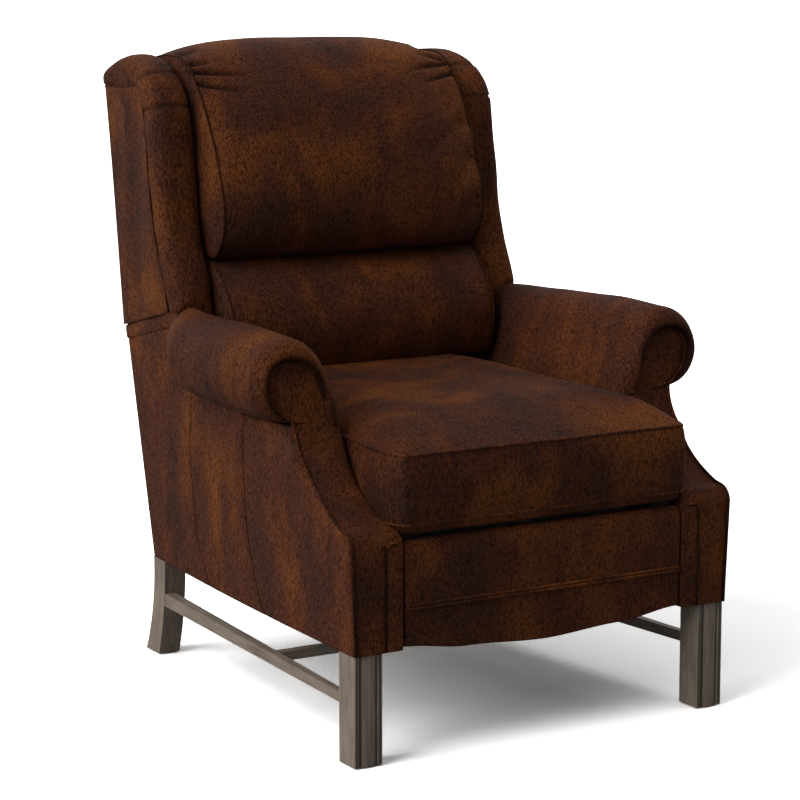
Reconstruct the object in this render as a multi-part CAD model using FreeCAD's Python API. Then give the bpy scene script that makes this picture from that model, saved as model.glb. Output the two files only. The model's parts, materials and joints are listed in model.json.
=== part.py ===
# A high-legged wing recliner: its back pushes back and brings out a footrest.
# Millimetres. While it is drawn, x = 0 is the centre plane, y = 0 the front plane of the front legs and
# z = 0 the floor, with the front towards -Y. Pieces are drawn on the +X side and mirrored.
import FreeCAD
import Part
import math
import os

V = FreeCAD.Vector

# Overall form
hem_z = 176.0                 # lower edge of the upholstery, and the top of the legs
half_width_front = 352.0      # outer side at the front, at the hem
side_draw_in = 52.0           # how much narrower each side is at the rear
plan_length = 789.0           # distance over which the side tapers
plan_bow = 7.5                # how far the side bows out at its middle
plan_overrun = 130.0          # the side's curve is drawn this much longer at both ends
side_flare = 0.045            # how much the side leans out for each millimetre of height
rear_y_hem = 775.0            # rear face at the hem
rear_rake_deg = 10.7          # lean of the rear face
split_z = 600.0               # top of the fixed part at the rear, where the back parts from it
back_gap = 10.0               # gap between the fixed part and the back above it
panel_thickness = 8.0         # outer side panels
panel_gap = 2.0               # between the outer panels and what is above or below them
rear_panel_thickness = 12.0   # outside back panel, the part that moves
lower_panel_thickness = 5.0   # outside back panel, the fixed part
lower_panel_gap = 1.0         # each side of it

# Legs and stretchers
leg_size = 48.0
front_leg_inset = 4.0         # from the outer side to the leg's outer face
rear_leg_inset = 3.0
rear_leg_y = 743.0            # front face of the rear legs at the hem
rear_leg_depth = 43.0
rear_leg_sweep = 28.0         # how far the foot curves back
rear_leg_mid_share = 0.23     # share of that sweep which is reached halfway down
rear_leg_foot_growth = 7.0    # how much deeper the foot is than the top
reed_width = 25.0
reed_rise = 1.8
bead_width = 4.0
moulding_depth = 2.4
rear_leg_width = 40.0
stretcher_z = 92.7
stretcher_front_height = 16.5
stretcher_rear_height = 22.5
stretcher_front_width = 12.0
stretcher_rear_width = 20.0
stretcher_inset_front = 5.0   # from the legs' outer faces
stretcher_inset_rear = 2.0
cross_stretcher_y = 320.0
cross_stretcher_size = 16.0
glide_height = 2.0
glide_radius = 15.0
bolt_radius = 4.0
bolt_length = 70.0

# Arms
arm_width = 87.0              # from the outer side at the front to the upholstered inside
arm_pad_thickness = 16.0
arm_board_thickness = 16.0
side_rail_inset = 7.0         # from the inside face of the arm to the rail under it
side_rail_thickness = 16.0
side_rail_top = 392.0
front_post_inset = 14.0       # from the outer side to the post's outer face
front_post_width = 46.0
front_post_depth = 44.0
post_top_z = 345.0
strip_overlap = 2.0           # how far the flat strip beside the footrest stands inside the arm's face
strip_lap = 3.0               # how far it covers the front post
strip_top_z = 366.0
strip_depth = 34.0
strip_round = 9.0             # rounding of its top front corner
cover_proud = 4.0             # upholstery in front of the leg plane
facing_thickness = 14.0
neck_y = 165.0                # front plane of the scroll
neck_z = 512.0
sweep_end_y = 8.0             # where the arm front's sweep ends in a rounded lip
sweep_end_z = 363.0
lip_drop = 14.0               # height of that lip
arm_top_z = 636.0
arm_bed_drop = 12.0           # from the neck down to the arm board's top, on which the roll lies
roll_radius = 62.5
roll_inset = 2.5              # from the line of the side to the middle of the roll
roll_swell = 4.5              # how much fatter the roll is a little behind its front
roll_end_radius = 35.5        # at the wing
roll_end_drop = 8.0           # how much lower its top is there
roll_length = 427.0
head_inset = 1.0              # how much smaller the scroll's disc is than the roll behind it
head_rim = 8.0                # how far its front edge is rounded in
pad_rear_y = 660.0
pad_rear_gap = 8.0            # between the roll's end and the part of the arm that rises behind it

# Back
back_post_inset_x = 1.0       # from the inside face of the arm to the back post's outer face
back_post_width = 38.0
back_post_depth = 40.0
back_post_inset = 24.0        # from the rear face to the back of the posts
back_post_bottom = 455.0
back_post_short = 73.0        # from the head pillow's top down to the posts' tops
back_rail_height = 46.0
webbing_thickness = 2.0
webbing_width = 50.0
webbing_margin = 20.0         # from the rails to the first and last strap
webbing_count = 5
pillow_gap = 3.0              # from the pillows' sides to the arms and wings
pillow_split_z = 711.0        # crease between the head and lumbar pillows
pillow_seam = 1.0             # gap between them in the crease
pillow_top_z = 1073.0
pillow_crown = 22.0           # how much fuller the head pillow is at its middle
lumbar_crown = 17.6
pillow_side_drop = 38.0       # how much lower the head pillow's top is at its sides
crease_y = 624.0
crease_tuck = 4.0             # how far the crease comes forwards at the middle
head_belly = 36.0             # how far the head pillow stands in front of the crease
head_shoulder = 20.0
head_top_round = 38.0         # height over which the head pillow turns back at its top
head_top_lean = 66.0          # from the crease back to where that turn begins
lumbar_belly = 68.0           # how far the lumbar pillow stands in front of the crease
lumbar_foot = 58.0
wing_width = 65.5             # at the rolled front edge
wing_draw_in = 21.0           # how much narrower it is at the rear
wing_top_z = 1052.0
wing_front_y = 590.0          # front of the wing's rolled edge low down
wing_front_lean = 0.17        # how far the rolled edge leans back for each millimetre of height
wing_lean_z = 700.0           # where that lean begins
wing_roll_depth = 30.0        # of the rolled edge
wing_foot_spread = 36.0       # how far the wing's foot runs forwards over the arm
wing_foot_height = 110.0
wing_shoulder = 92.0          # height over which the top of the wing turns back
wing_shoulder_depth = 128.0
wing_clear_of_roll = 4.0      # between the arm roll and the wing above it
wing_clear_behind = 10.0      # between the roll's end and the wing's foot behind it
wing_seam_depth = 62.0        # from the rolled edge back to the seam of the outside panel
wing_crest_depth = 210.0      # from the rear face forwards to the crest of the wing's top
wing_top_fall = 32.0          # how far the top falls from there to the rear corner
outer_back_top_z = 1018.0
outer_back_arch = 27.0

# Seat
cushion_gap = 3.5             # from the cushion's sides to the arms
cushion_front_z = 477.0
cushion_low_z = 369.0
cushion_crown_z = 522.0
cushion_bulge = 2.5           # how far the side bands swell out past their seams
cushion_tuck = 23.5           # how far the lower edge tucks under
cushion_rear_y = 742.0
cushion_rear_draw = 14.0      # how much the sides draw in at the rear
cushion_front_gap = 1.0       # how far the cushion stands in front of the footrest
seat_rail_inset = 19.0        # from the inside face of the arm
seat_rail_width = 41.0
seat_rail_height = 18.0
seat_rail_front_y = 64.0
seat_rail_rear_y = 700.0
seat_rail_z = 331.0
deck_thickness = 3.0
spring_count = 5
spring_wire = 3.6
spring_pitch = 28.0
spring_swing = 20.0

# Mechanism: flat steel links in layers beside each other, from the side rails inwards
plate_thickness = 4.0
link_thickness = 2.5
link_half_width = 10.0
pin_radius = 5.0
recline_pin_radius = 6.0
running_clearance = 0.05      # between a pin and the link that turns on it
open_clearance = 0.4          # round the pins where the seat meets the back
stud_radius = 3.8             # fixed studs at the far ends of the partner links
rear_stud_clearance = 1.1     # round those studs, because the links only nearly keep parallel
front_stud_clearance = 2.2
layer_gap = 1.0
swing_thickness = 3.0
swing_half_width = 12.0
tube_radius = 9.0
tube_wall = 1.5
eye = 13.0                    # half width of a lug or an upstand round its pin
collar_radius = 10.0          # of the spacer on the recline pin

mounting_z = 225.0            # lower edge of the mounting rails, on top of the cross rails
mounting_height = 37.0
mounting_short = 30.0         # from the rear legs forwards to the rails' ends
swing_ear_half = 22.0         # half length of the ear round the swing link's upper pin, at its top
swing_ear_foot = 40.0         # and at its foot
swing_ear_rise = 14.0         # from that pin to the ear's top
base_rail_z = 190.0
base_rail_depth = 32.0
base_rail_gap = 2.0           # between the rear rail and the rear legs
cross_rail_y = 470.0

side_plate_drop = 24.0        # from the rear pivot down to the seat plate's lower edge
side_plate_end = 11.5         # from the partner pivot forwards to its end
swing_lug_foot = 40.0         # half length of its lug for the swing link, where the lug begins
upstand_front = 78.0          # from the pivot with the back forwards to the upstand's foot, at its top edge
upstand_rear = 60.0           # and at its lower edge
flange_width = 44.0           # of the flange under the seat rails
flange_start = 50.0           # from the rear pivot back to the flange
flange_short = 8.0            # from the rails' rear end forwards to the flange's end
back_bracket_half_width = 14.0
back_pad_inset = 4.0          # edges of the back brackets' pads inside the posts' edges
back_pad_short = 35.0         # from the recline pivot down to the pads
footrest_bracket_rise = 50.0  # from the stud up to the footrest bracket's top
footrest_foot_width = 24.0
footrest_foot_thickness = 3.0

recline_z = 583.0
recline_inset = 19.9              # from the rear face forwards to the recline pivot
recline_arm = (-57.0, -171.0)     # from the recline pivot down to the pivot between back and seat
swing_low_pivot = (300.0, 205.0)
rear_pivot = (150.0, 318.0)
rear_link_length = 172.0
rear_link_deg = -130.0            # 0 points forwards, 90 points up
footrest_pivot = (66.0, 232.0)
partner_offset = (-26.0, -12.0)   # from the knee to the rear partner's pin
partner_shift = (0.34, 1.86)      # how much its seat end differs from a true parallelogram
knee_partner = (-0.4, 21.0)       # from the knee to the front partner's pin
footrest_partner = (19.4, 32.0)   # from the footrest pivot to its partner's stud
stud_hole_shift = (0.28, -0.72)   # from that stud to the middle of the hole round it, when closed

# Footrest
footrest_gap = 1.5                # each side, to the strips
footrest_top_z = 345.0
welt_z = 242.0
apron_end_z = 181.0
apron_drop = 20.5                 # how much lower the apron is at its middle
footrest_front_y = -2.0
footrest_pad_depth = 24.0
footrest_board_depth = 18.0
footrest_board_inset = 5.0        # board's edges inside the leather's
footrest_side_draw = 3.0          # how much the pad draws in at its sides
footrest_belly = 3.0              # how far it stands proud of its lower edge
footrest_round = 15.0             # rounding over the board's top
apron_step = 2.0                  # from the pad's front back to the apron's
welt_gap = 2.0                    # groove between them

clearance = 0.3                   # between soft faces that lie together
beyond = 2000.0                   # longer than the whole chair, for solids that only cut


arm_bed_z = neck_z - arm_bed_drop
back_post_top = pillow_top_z - back_post_short

# Places across the chair, from the outer side inwards
half_width_rear = half_width_front - side_draw_in
front_leg_x = half_width_front - front_leg_inset
rear_leg_x = half_width_rear - rear_leg_inset
front_post_x = half_width_front - front_post_inset - front_post_width
inner_arm_x = half_width_front - arm_width
arm_board_x = inner_arm_x + arm_pad_thickness
side_rail_x = inner_arm_x + side_rail_inset
back_post_x = inner_arm_x - back_post_inset_x
pillow_half_width = inner_arm_x - pillow_gap
wing_inner_x = inner_arm_x - clearance
wing_outer_front_x = wing_inner_x + wing_width
wing_outer_rear_x = wing_outer_front_x - wing_draw_in
cushion_half_width = inner_arm_x - cushion_gap
seat_rail_x = inner_arm_x - seat_rail_inset
mounting_x = side_rail_x - plate_thickness
swing_x = mounting_x - layer_gap - swing_thickness
seat_plate_x = swing_x - layer_gap - plate_thickness
rear_partner_x = seat_plate_x - layer_gap - link_thickness
front_link_x = rear_partner_x - layer_gap - link_thickness
rear_link_x = front_link_x - layer_gap - link_thickness
front_partner_x = rear_link_x - layer_gap - link_thickness
bracket_x = front_partner_x - layer_gap - plate_thickness


# Small helpers
def rear_y(z):
    return rear_y_hem + (z - hem_z) * math.tan(math.radians(rear_rake_deg))


def plan_x(y, z):
    """Outer side of the fixed part at a place along it and at a height."""
    s = y / plan_length
    taper = (half_width_front - half_width_rear) * s
    return half_width_front - taper + 4 * plan_bow * s * (1 - s) + side_flare * (z - hem_z)


def box(x0, x1, y0, y1, z0, z1):
    return Part.makeBox(x1 - x0, y1 - y0, z1 - z0, V(x0, y0, z0))


def prism_x(points, x0, x1):
    """A closed outline of (y, z) points, drawn out along X."""
    wire = Part.makePolygon([V(x0, y, z) for y, z in points + points[:1]])
    return Part.Face(wire).extrude(V(x1 - x0, 0, 0))


def prism_z(points, z0, z1):
    wire = Part.makePolygon([V(x, y, z0) for x, y in points + points[:1]])
    return Part.Face(wire).extrude(V(0, 0, z1 - z0))


def line(a, b):
    return Part.LineSegment(a, b).toShape()


def arc(a, b, c):
    return Part.Arc(a, b, c).toShape()


def spline(points, start, end):
    curve = Part.BSplineCurve()
    curve.interpolate(Points=points, InitialTangent=start, FinalTangent=end)
    return curve.toShape()


def cylinder_x(place, radius, x0, x1):
    return Part.makeCylinder(radius, x1 - x0, V(x0, place[0], place[1]), V(1, 0, 0))


def mirrored(shape):
    return shape.mirror(V(0, 0, 0), V(1, 0, 0))


def both(shape):
    return Part.makeCompound([shape, mirrored(shape)])


def largest(shape):
    return max(shape.Solids, key=lambda s: s.Volume)


def loft(wires, ruled=True):
    return Part.makeLoft(wires, True, ruled)


def rectangle(x0, x1, y0, y1, z):
    corners = [V(x0, y0, z), V(x1, y0, z), V(x1, y1, z), V(x0, y1, z)]
    return Part.makePolygon(corners + corners[:1])


def plus(a, b):
    return (a[0] + b[0], a[1] + b[1])


def link(places, half_width, x0, thickness):
    """A flat link: round ends at its (y, z) places, joined by straight sides."""
    body = cylinder_x(places[0], half_width, x0, x0 + thickness)
    for a, b in zip(places, places[1:]):
        along = V(0, b[0] - a[0], b[1] - a[1]).normalize()
        side = V(0, -along.z, along.y) * half_width
        ends = [V(x0, *a) + side, V(x0, *b) + side, V(x0, *b) - side, V(x0, *a) - side]
        bar = Part.Face(Part.makePolygon(ends + ends[:1])).extrude(V(thickness, 0, 0))
        body = body.fuse([bar, cylinder_x(b, half_width, x0, x0 + thickness)])
    return body.removeSplitter()


def drilled(shape, places, radius, x0, x1):
    for place in places:
        shape = shape.cut(cylinder_x(place, radius, x0 - 1, x1 + 1))
    return shape


parts = {}


def keep(name, shape):
    parts[name] = shape


def keep_pair(name, shape):
    keep(name + "_right", mirrored(shape))     # the sitter's right is at -X
    keep(name + "_left", shape)


# Pivots worked out from the driving ones
recline_pivot = (rear_y(recline_z) - recline_inset, recline_z)
seat_back_pivot = plus(recline_pivot, recline_arm)
swing_high_pivot = (swing_low_pivot[0] - recline_arm[0], swing_low_pivot[1] - recline_arm[1])
rear_link_angle = math.radians(rear_link_deg)
knee = plus(rear_pivot, (-rear_link_length * math.cos(rear_link_angle),
                         rear_link_length * math.sin(rear_link_angle)))
knee_rear_partner = plus(knee, partner_offset)
partner_pivot = plus(plus(rear_pivot, partner_offset), partner_shift)
knee_front_partner = plus(knee, knee_partner)
footrest_partner_stud = plus(footrest_pivot, footrest_partner)

# Places shared by several pieces
strip_x = front_post_x + strip_lap
strip_inner_x = inner_arm_x - strip_overlap
footrest_half_width = strip_inner_x - footrest_gap
roll_rear_y = neck_y + roll_length
back_bottom_z = split_z + back_gap
back_front_offset = back_post_inset + back_post_depth
pillow_back_offset = back_front_offset + webbing_thickness + clearance
deck_z = seat_rail_z + seat_rail_height


# Legs
def front_leg():
    """A square leg whose front face has a broad reed between two grooves and two beads."""
    x0, x1 = front_leg_x - leg_size, front_leg_x
    middle = (x0 + x1) / 2
    reed0, reed1 = middle - reed_width / 2, middle + reed_width / 2
    low = glide_height
    edges = []
    path = [(x0, leg_size), (x0, 0), (x0 + bead_width, 0)]
    for a, b in zip(path, path[1:]):
        edges.append(line(V(*a, low), V(*b, low)))
    edges.append(arc(V(x0 + bead_width, 0, low), V((x0 + bead_width + reed0) / 2, moulding_depth, low),
                     V(reed0, moulding_depth / 2, low)))
    edges.append(arc(V(reed0, moulding_depth / 2, low), V(middle, moulding_depth / 2 - reed_rise, low),
                     V(reed1, moulding_depth / 2, low)))
    edges.append(arc(V(reed1, moulding_depth / 2, low), V((reed1 + x1 - bead_width) / 2, moulding_depth, low),
                     V(x1 - bead_width, 0, low)))
    path = [(x1 - bead_width, 0), (x1, 0), (x1, leg_size), (x0, leg_size)]
    for a, b in zip(path, path[1:]):
        edges.append(line(V(*a, low), V(*b, low)))
    leg = Part.Face(Part.Wire(edges)).extrude(V(0, 0, hem_z - low))
    x, y = front_bolt_place()
    return leg.cut(leg_bolt(x, y))


def front_bolt_place():
    return front_post_x + front_post_width / 2, leg_size / 2 + cover_proud


def rear_bolt_place():
    return side_rail_x + side_rail_thickness / 2, rear_leg_y + rear_leg_depth / 2


def leg_bolt(x, y):
    return Part.makeCylinder(bolt_radius, bolt_length, V(x, y, hem_z - bolt_length / 2))


def rear_leg():
    """A sabre leg: straight below the hem, curving back to its foot."""
    x0, x1 = rear_leg_x - rear_leg_width, rear_leg_x
    back = rear_leg_y + rear_leg_depth
    foot0 = rear_leg_y + rear_leg_sweep
    foot1 = back + rear_leg_sweep + rear_leg_foot_growth
    middle = hem_z / 2
    low = glide_height
    bend = rear_leg_sweep * rear_leg_mid_share
    front_edge = arc(V(x0, rear_leg_y, hem_z), V(x0, rear_leg_y + bend, middle), V(x0, foot0, low))
    back_edge = arc(V(x0, foot1, low), V(x0, back + bend, middle), V(x0, back, hem_z))
    wire = Part.Wire([front_edge, line(V(x0, foot0, low), V(x0, foot1, low)), back_edge,
                      line(V(x0, back, hem_z), V(x0, rear_leg_y, hem_z))])
    leg = Part.Face(wire).extrude(V(x1 - x0, 0, 0))
    return leg.cut(leg_bolt(*rear_bolt_place()))


def side_stretcher(rear):
    """A bar from the front leg back to the rear leg, drawing in and growing stouter towards the rear."""
    ends = ((front_leg_x - stretcher_inset_front, leg_size, stretcher_front_width, stretcher_front_height),
            (rear_leg_x - stretcher_inset_rear, rear_leg_y + rear_leg_depth / 2, stretcher_rear_width,
             stretcher_rear_height))
    wires = []
    for x, y, width, height in ends:
        corners = [V(x - width, y, stretcher_z), V(x, y, stretcher_z),
                   V(x, y, stretcher_z + height), V(x - width, y, stretcher_z + height)]
        wires.append(Part.makePolygon(corners + corners[:1]))
    return largest(loft(wires).cut(rear))


def cross_stretcher(sides):
    half = cross_stretcher_size / 2
    bar = box(-front_leg_x, front_leg_x, cross_stretcher_y - half, cross_stretcher_y + half,
              stretcher_z, stretcher_z + cross_stretcher_size)
    return largest(bar.cut(sides))


def leg_glides():
    """Nylon discs under the four legs."""
    front = V(front_leg_x - leg_size / 2, leg_size / 2, 0)
    rear_middle = rear_leg_y + rear_leg_sweep + (rear_leg_depth + rear_leg_foot_growth) / 2
    rear = V(rear_leg_x - rear_leg_width / 2, rear_middle, 0)
    discs = [Part.makeCylinder(glide_radius, glide_height, place) for place in (front, rear)]
    return Part.makeCompound(discs + [mirrored(d) for d in discs])


# Sides and arms
def sweep_points(offset):
    """The arm front's sweep from the scroll down to the post, moved inwards by an offset."""
    forwards, down = neck_y - sweep_end_y, neck_z - sweep_end_z
    shape = ((0, 0, 1, 0), (0.076, 0.37, 0.93, 0.36), (0.293, 0.678, 0.6, 0.8), (0.637, 0.856, 0.4, 0.92),
             (1, 1, 0.3, 0.95))
    return [(neck_y - forwards * a + offset * inwards, neck_z - down * b - offset * below)
            for a, b, inwards, below in shape]


def sweep_edges(offset, x):
    """The front outline from the hem up to the scroll, with its rounded lip."""
    points = sweep_points(offset)
    front = offset - cover_proud
    lip_y, lip_z = points[-1]
    sweep = spline([V(x, y, z) for y, z in points], V(0, 0, -60), V(0, -60, -15))
    brow = V(x, front + (lip_y - front) * 0.28, lip_z - lip_drop * 0.32)
    lip = arc(V(x, lip_y, lip_z), brow, V(x, front, lip_z - lip_drop))
    return [sweep, lip, line(V(x, front, lip_z - lip_drop), V(x, front, hem_z))]


def side_face(offset, rear_offset, x):
    """The side outline behind the arm front, up to the top of the fixed part."""
    edges = sweep_edges(offset, x)
    corners = [(offset - cover_proud, hem_z), (rear_y(hem_z) - rear_offset, hem_z),
               (rear_y(split_z) - rear_offset, split_z), (neck_y + offset, split_z), (neck_y + offset, neck_z)]
    for a, b in zip(corners, corners[1:]):
        edges.append(line(V(x, *a), V(x, *b)))
    return Part.Face(Part.Wire(Part.__sortEdges__(edges)))


def side_slab(thickness):
    """A tall slab that follows the tapering, bowed outer side."""
    wires = []
    for z in (hem_z, arm_top_z):
        ys = (-plan_overrun, plan_length / 2, plan_length + plan_overrun)
        outer = [V(plan_x(y, z), y, z) for y in ys]
        inner = [p - V(thickness, 0, 0) for p in outer]
        wires.append(Part.Wire([arc(*outer), line(outer[2], inner[2]), arc(*inner[::-1]),
                                line(inner[0], outer[0])]))
    return loft(wires)


def outer_side_panel():
    """The outside of the arm and base: it follows the underside of the roll and rises behind it."""
    under = [(y, top - 2 * radius - panel_gap) for y, radius, top in roll_stations()]
    above = [(0, beyond), (0, under[1][1])] + under[1:]
    above += [(roll_rear_y + panel_gap, under[-1][1]), (roll_rear_y + panel_gap, beyond)]
    region = side_face(facing_thickness, 0.0, 0).extrude(V(beyond, 0, 0))
    return largest(side_slab(panel_thickness).common(region).cut(prism_x(above, 0, beyond)))


def arm_core(x0, thickness, z0, z1, rear_step):
    """A board inside the arm between two heights, its front under the arm front's sweep."""
    region = side_face(facing_thickness, lower_panel_thickness, x0).extrude(V(thickness, 0, 0))
    low = box(0, beyond, -beyond, beyond, z0, min(z1, arm_bed_z))
    if z1 > arm_bed_z:
        low = low.fuse(box(0, beyond, rear_step, beyond, z0, z1))
    return largest(region.common(low).removeSplitter())


def side_rail():
    """The hardwood rail of the base on each side; the mechanism is screwed to it."""
    rail = arm_core(side_rail_x, side_rail_thickness, hem_z, side_rail_top, 0)
    return rail.cut(leg_bolt(*rear_bolt_place()))


def arm_board():
    board = arm_core(arm_board_x, arm_board_thickness, side_rail_top, split_z, roll_rear_y + pad_rear_gap)
    return drilled(board, [recline_pivot], recline_pin_radius, arm_board_x, arm_board_x + arm_board_thickness)


def inner_arm_pad():
    pad = arm_core(inner_arm_x, arm_board_x - inner_arm_x, side_rail_top, split_z, roll_rear_y + pad_rear_gap)
    return largest(pad.common(box(0, beyond, -beyond, pad_rear_y, 0, beyond)))


def front_post():
    post = box(front_post_x, front_post_x + front_post_width, facing_thickness - cover_proud,
               facing_thickness - cover_proud + front_post_depth, hem_z, post_top_z - facing_thickness)
    return post.cut(leg_bolt(*front_bolt_place()))


def front_strip():
    """The flat upholstered strip beside the footrest, its top corner rounded."""
    strip = box(strip_inner_x, strip_x - clearance, -cover_proud, strip_depth, hem_z, strip_top_z)
    front_top = [e for e in strip.Edges if abs(e.CenterOfMass.y + cover_proud) < 0.1
                 and abs(e.CenterOfMass.z - strip_top_z) < 0.1]
    strip = strip.makeFillet(strip_round, front_top)
    rail_front = facing_thickness - cover_proud - clearance
    return strip.cut(box(side_rail_x, beyond, rail_front, beyond, 0, beyond))


def scroll_wire(y, radius, top):
    """A section across the arm's top: flat bed, upright inside, round scroll outside."""
    cx, cz = plan_x(y, arm_top_z - roll_radius) - roll_inset, top - radius

    def rim(degrees):
        angle = math.radians(degrees)
        return V(cx + radius * math.cos(angle), y, cz + radius * math.sin(angle))

    start = V(inner_arm_x, y, arm_bed_z)
    bed = V(arm_board_x + arm_board_thickness, y, arm_bed_z)
    inside, over, under = rim(148), rim(90), rim(-110)
    hollow = V(inner_arm_x + (inside.x - inner_arm_x) * 0.28, y, arm_bed_z + (inside.z - arm_bed_z) * 0.62)
    return Part.Wire([arc(start, hollow, inside), arc(inside, rim(118), over), arc(over, rim(-5), under),
                      line(under, bed), line(bed, start)])


def roll_stations():
    """Places along the roll: fattest a little behind the scroll, drawn in to a round end at the wing."""
    front = neck_y + facing_thickness + clearance
    stations = []
    for along, swell, end in ((0, 0, 0), (0.30, 1, 0), (0.66, 0, 0.055), (0.92, 0, 0.48), (1, 0, 1)):
        radius = roll_radius + roll_swell * swell - (roll_radius - roll_end_radius) * end
        stations.append((front + (roll_rear_y - front) * along, radius, arm_top_z - roll_end_drop * end ** 2))
    return stations


def arm_roll():
    return loft([scroll_wire(*station) for station in roll_stations()])


def arm_facing():
    """The front of the arm in one piece: scroll disc, neck, sweep and post front."""
    x0, x1 = inner_arm_x, beyond
    outer = sweep_edges(0.0, x0)
    inner = sweep_edges(facing_thickness, x0)
    ends = [line(V(x0, neck_y, neck_z), V(x0, neck_y + facing_thickness, neck_z)),
            line(V(x0, -cover_proud, hem_z), V(x0, facing_thickness - cover_proud, hem_z))]
    wire = Part.Wire(Part.__sortEdges__(outer + inner + ends))
    ribbon = Part.Face(wire).extrude(V(x1 - x0, 0, 0))
    ribbon = ribbon.cut(box(0, strip_x, -beyond, strip_depth, 0, strip_top_z + clearance))
    ribbon = ribbon.common(side_slab(half_width_front))
    wires = []
    for share, rounding in ((0, 1), (0.3, 0.375), (1, 0)):
        inset = head_inset + head_rim * rounding
        wires.append(scroll_wire(neck_y + facing_thickness * share, roll_radius - inset,
                                 arm_top_z - head_inset - inset))
    return ribbon.fuse(loft(wires))


# The steel and wood under the seat
def mounting_rails():
    """Steel plates on the side rails, which carry the swing links."""
    y, z = swing_high_pivot
    low, high, top = mounting_z, mounting_z + mounting_height, z + swing_ear_rise
    front, rear = rear_pivot[0], rear_leg_y - mounting_short
    outline = [(front, low), (rear, low), (rear, high), (y + swing_ear_foot, high), (y + swing_ear_half, top),
               (y - swing_ear_half, top), (y - swing_ear_foot, high), (front, high)]
    plate = prism_x(outline, mounting_x, mounting_x + plate_thickness)
    return both(drilled(plate, [swing_high_pivot], pin_radius, mounting_x, mounting_x + plate_thickness))


def base_pivot_pins():
    recline = cylinder_x(recline_pivot, recline_pin_radius, back_post_x + clearance,
                         arm_board_x + arm_board_thickness)
    collar0 = back_post_x + plate_thickness + clearance
    collar = cylinder_x(recline_pivot, collar_radius, collar0, arm_board_x)
    swing = cylinder_x(swing_high_pivot, pin_radius, swing_x, mounting_x + plate_thickness)
    pins = [recline.fuse(collar), swing]
    return Part.makeCompound(pins + [mirrored(p) for p in pins])


def swing_links():
    bar = link([swing_low_pivot, swing_high_pivot], swing_half_width, swing_x, swing_thickness)
    hole = pin_radius + running_clearance
    return both(drilled(bar, [swing_low_pivot, swing_high_pivot], hole, swing_x, swing_x + swing_thickness))


def seat_side_plates():
    """The seat's steel sides: a long bar with a lug for the swing link and an upstand to the back."""
    x0, x1 = seat_plate_x, seat_plate_x + plate_thickness
    py, pz = seat_back_pivot
    sy, sz = swing_low_pivot
    front, low, top = partner_pivot[0] - side_plate_end, rear_pivot[1] - side_plate_drop, seat_rail_z
    outline = [(front, low), (sy - swing_lug_foot, low), (sy - eye, sz), (sy - eye * 0.7, sz - eye * 0.93),
               (sy + eye * 0.7, sz - eye * 0.93), (sy + eye, sz), (sy + swing_lug_foot, low),
               (py - upstand_rear, low), (py + eye, pz - eye / 2), (py + eye * 0.8, pz + eye),
               (py - eye * 0.8, pz + eye), (py - upstand_front, top), (front, top)]
    plate = prism_x(outline, x0, x1)
    flange = box(x0 - flange_width, x1, rear_pivot[0] + flange_start, seat_rail_rear_y - flange_short,
                 top - plate_thickness, top)
    plate = plate.fuse(flange).removeSplitter()
    places = [swing_low_pivot, rear_pivot, partner_pivot, seat_back_pivot]
    return both(drilled(plate, places, pin_radius, x0, x1))


def seat_pivot_pins():
    x1 = seat_plate_x + plate_thickness
    pins = [cylinder_x(swing_low_pivot, pin_radius, seat_plate_x, swing_x + swing_thickness),
            cylinder_x(rear_pivot, pin_radius, rear_link_x, x1),
            cylinder_x(partner_pivot, pin_radius, rear_partner_x, x1),
            cylinder_x(seat_back_pivot, pin_radius, seat_plate_x, back_post_x + plate_thickness)]
    return Part.makeCompound(pins + [mirrored(p) for p in pins])


def rear_links():
    """The footrest's rear links, each with an ear for the front partner link."""
    bar = link([rear_pivot, knee, knee_front_partner], link_half_width, rear_link_x, link_thickness)
    x1 = rear_link_x + link_thickness
    bar = drilled(bar, [rear_pivot], pin_radius + running_clearance, rear_link_x, x1)
    return both(drilled(bar, [knee, knee_front_partner], pin_radius, rear_link_x, x1))


def knee_pins():
    pins = [cylinder_x(knee, pin_radius, rear_link_x, front_link_x + link_thickness),
            cylinder_x(knee_front_partner, pin_radius, front_partner_x, rear_link_x + link_thickness)]
    return Part.makeCompound(pins + [mirrored(p) for p in pins])


def torque_tube():
    """The tube that joins the left and right rear links, on their pivot line."""
    tube = cylinder_x(rear_pivot, tube_radius, -rear_link_x, rear_link_x)
    return tube.cut(cylinder_x(rear_pivot, tube_radius - tube_wall, -rear_link_x - 1, rear_link_x + 1))


def rear_partner_links():
    bar = link([partner_pivot, knee_rear_partner], link_half_width, rear_partner_x, link_thickness)
    x1 = rear_partner_x + link_thickness
    bar = drilled(bar, [partner_pivot], pin_radius + running_clearance, rear_partner_x, x1)
    return both(drilled(bar, [knee_rear_partner], stud_radius + rear_stud_clearance, rear_partner_x, x1))


def front_links():
    """The front links, with the fixed pin on which the rear partner's far end rides."""
    bar = link([knee_rear_partner, knee, footrest_pivot], link_half_width, front_link_x, link_thickness)
    x1 = front_link_x + link_thickness
    bar = drilled(bar, [knee, footrest_pivot], pin_radius + running_clearance, front_link_x, x1)
    stud = cylinder_x(knee_rear_partner, stud_radius, front_link_x, rear_partner_x + link_thickness)
    return both(bar.fuse(stud).removeSplitter())


def front_partner_links():
    far = plus(footrest_partner_stud, stud_hole_shift)
    bar = link([knee_front_partner, far], link_half_width, front_partner_x, link_thickness)
    x1 = front_partner_x + link_thickness
    bar = drilled(bar, [knee_front_partner], pin_radius + running_clearance, front_partner_x, x1)
    return both(drilled(bar, [far], stud_radius + front_stud_clearance, front_partner_x, x1))


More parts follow.
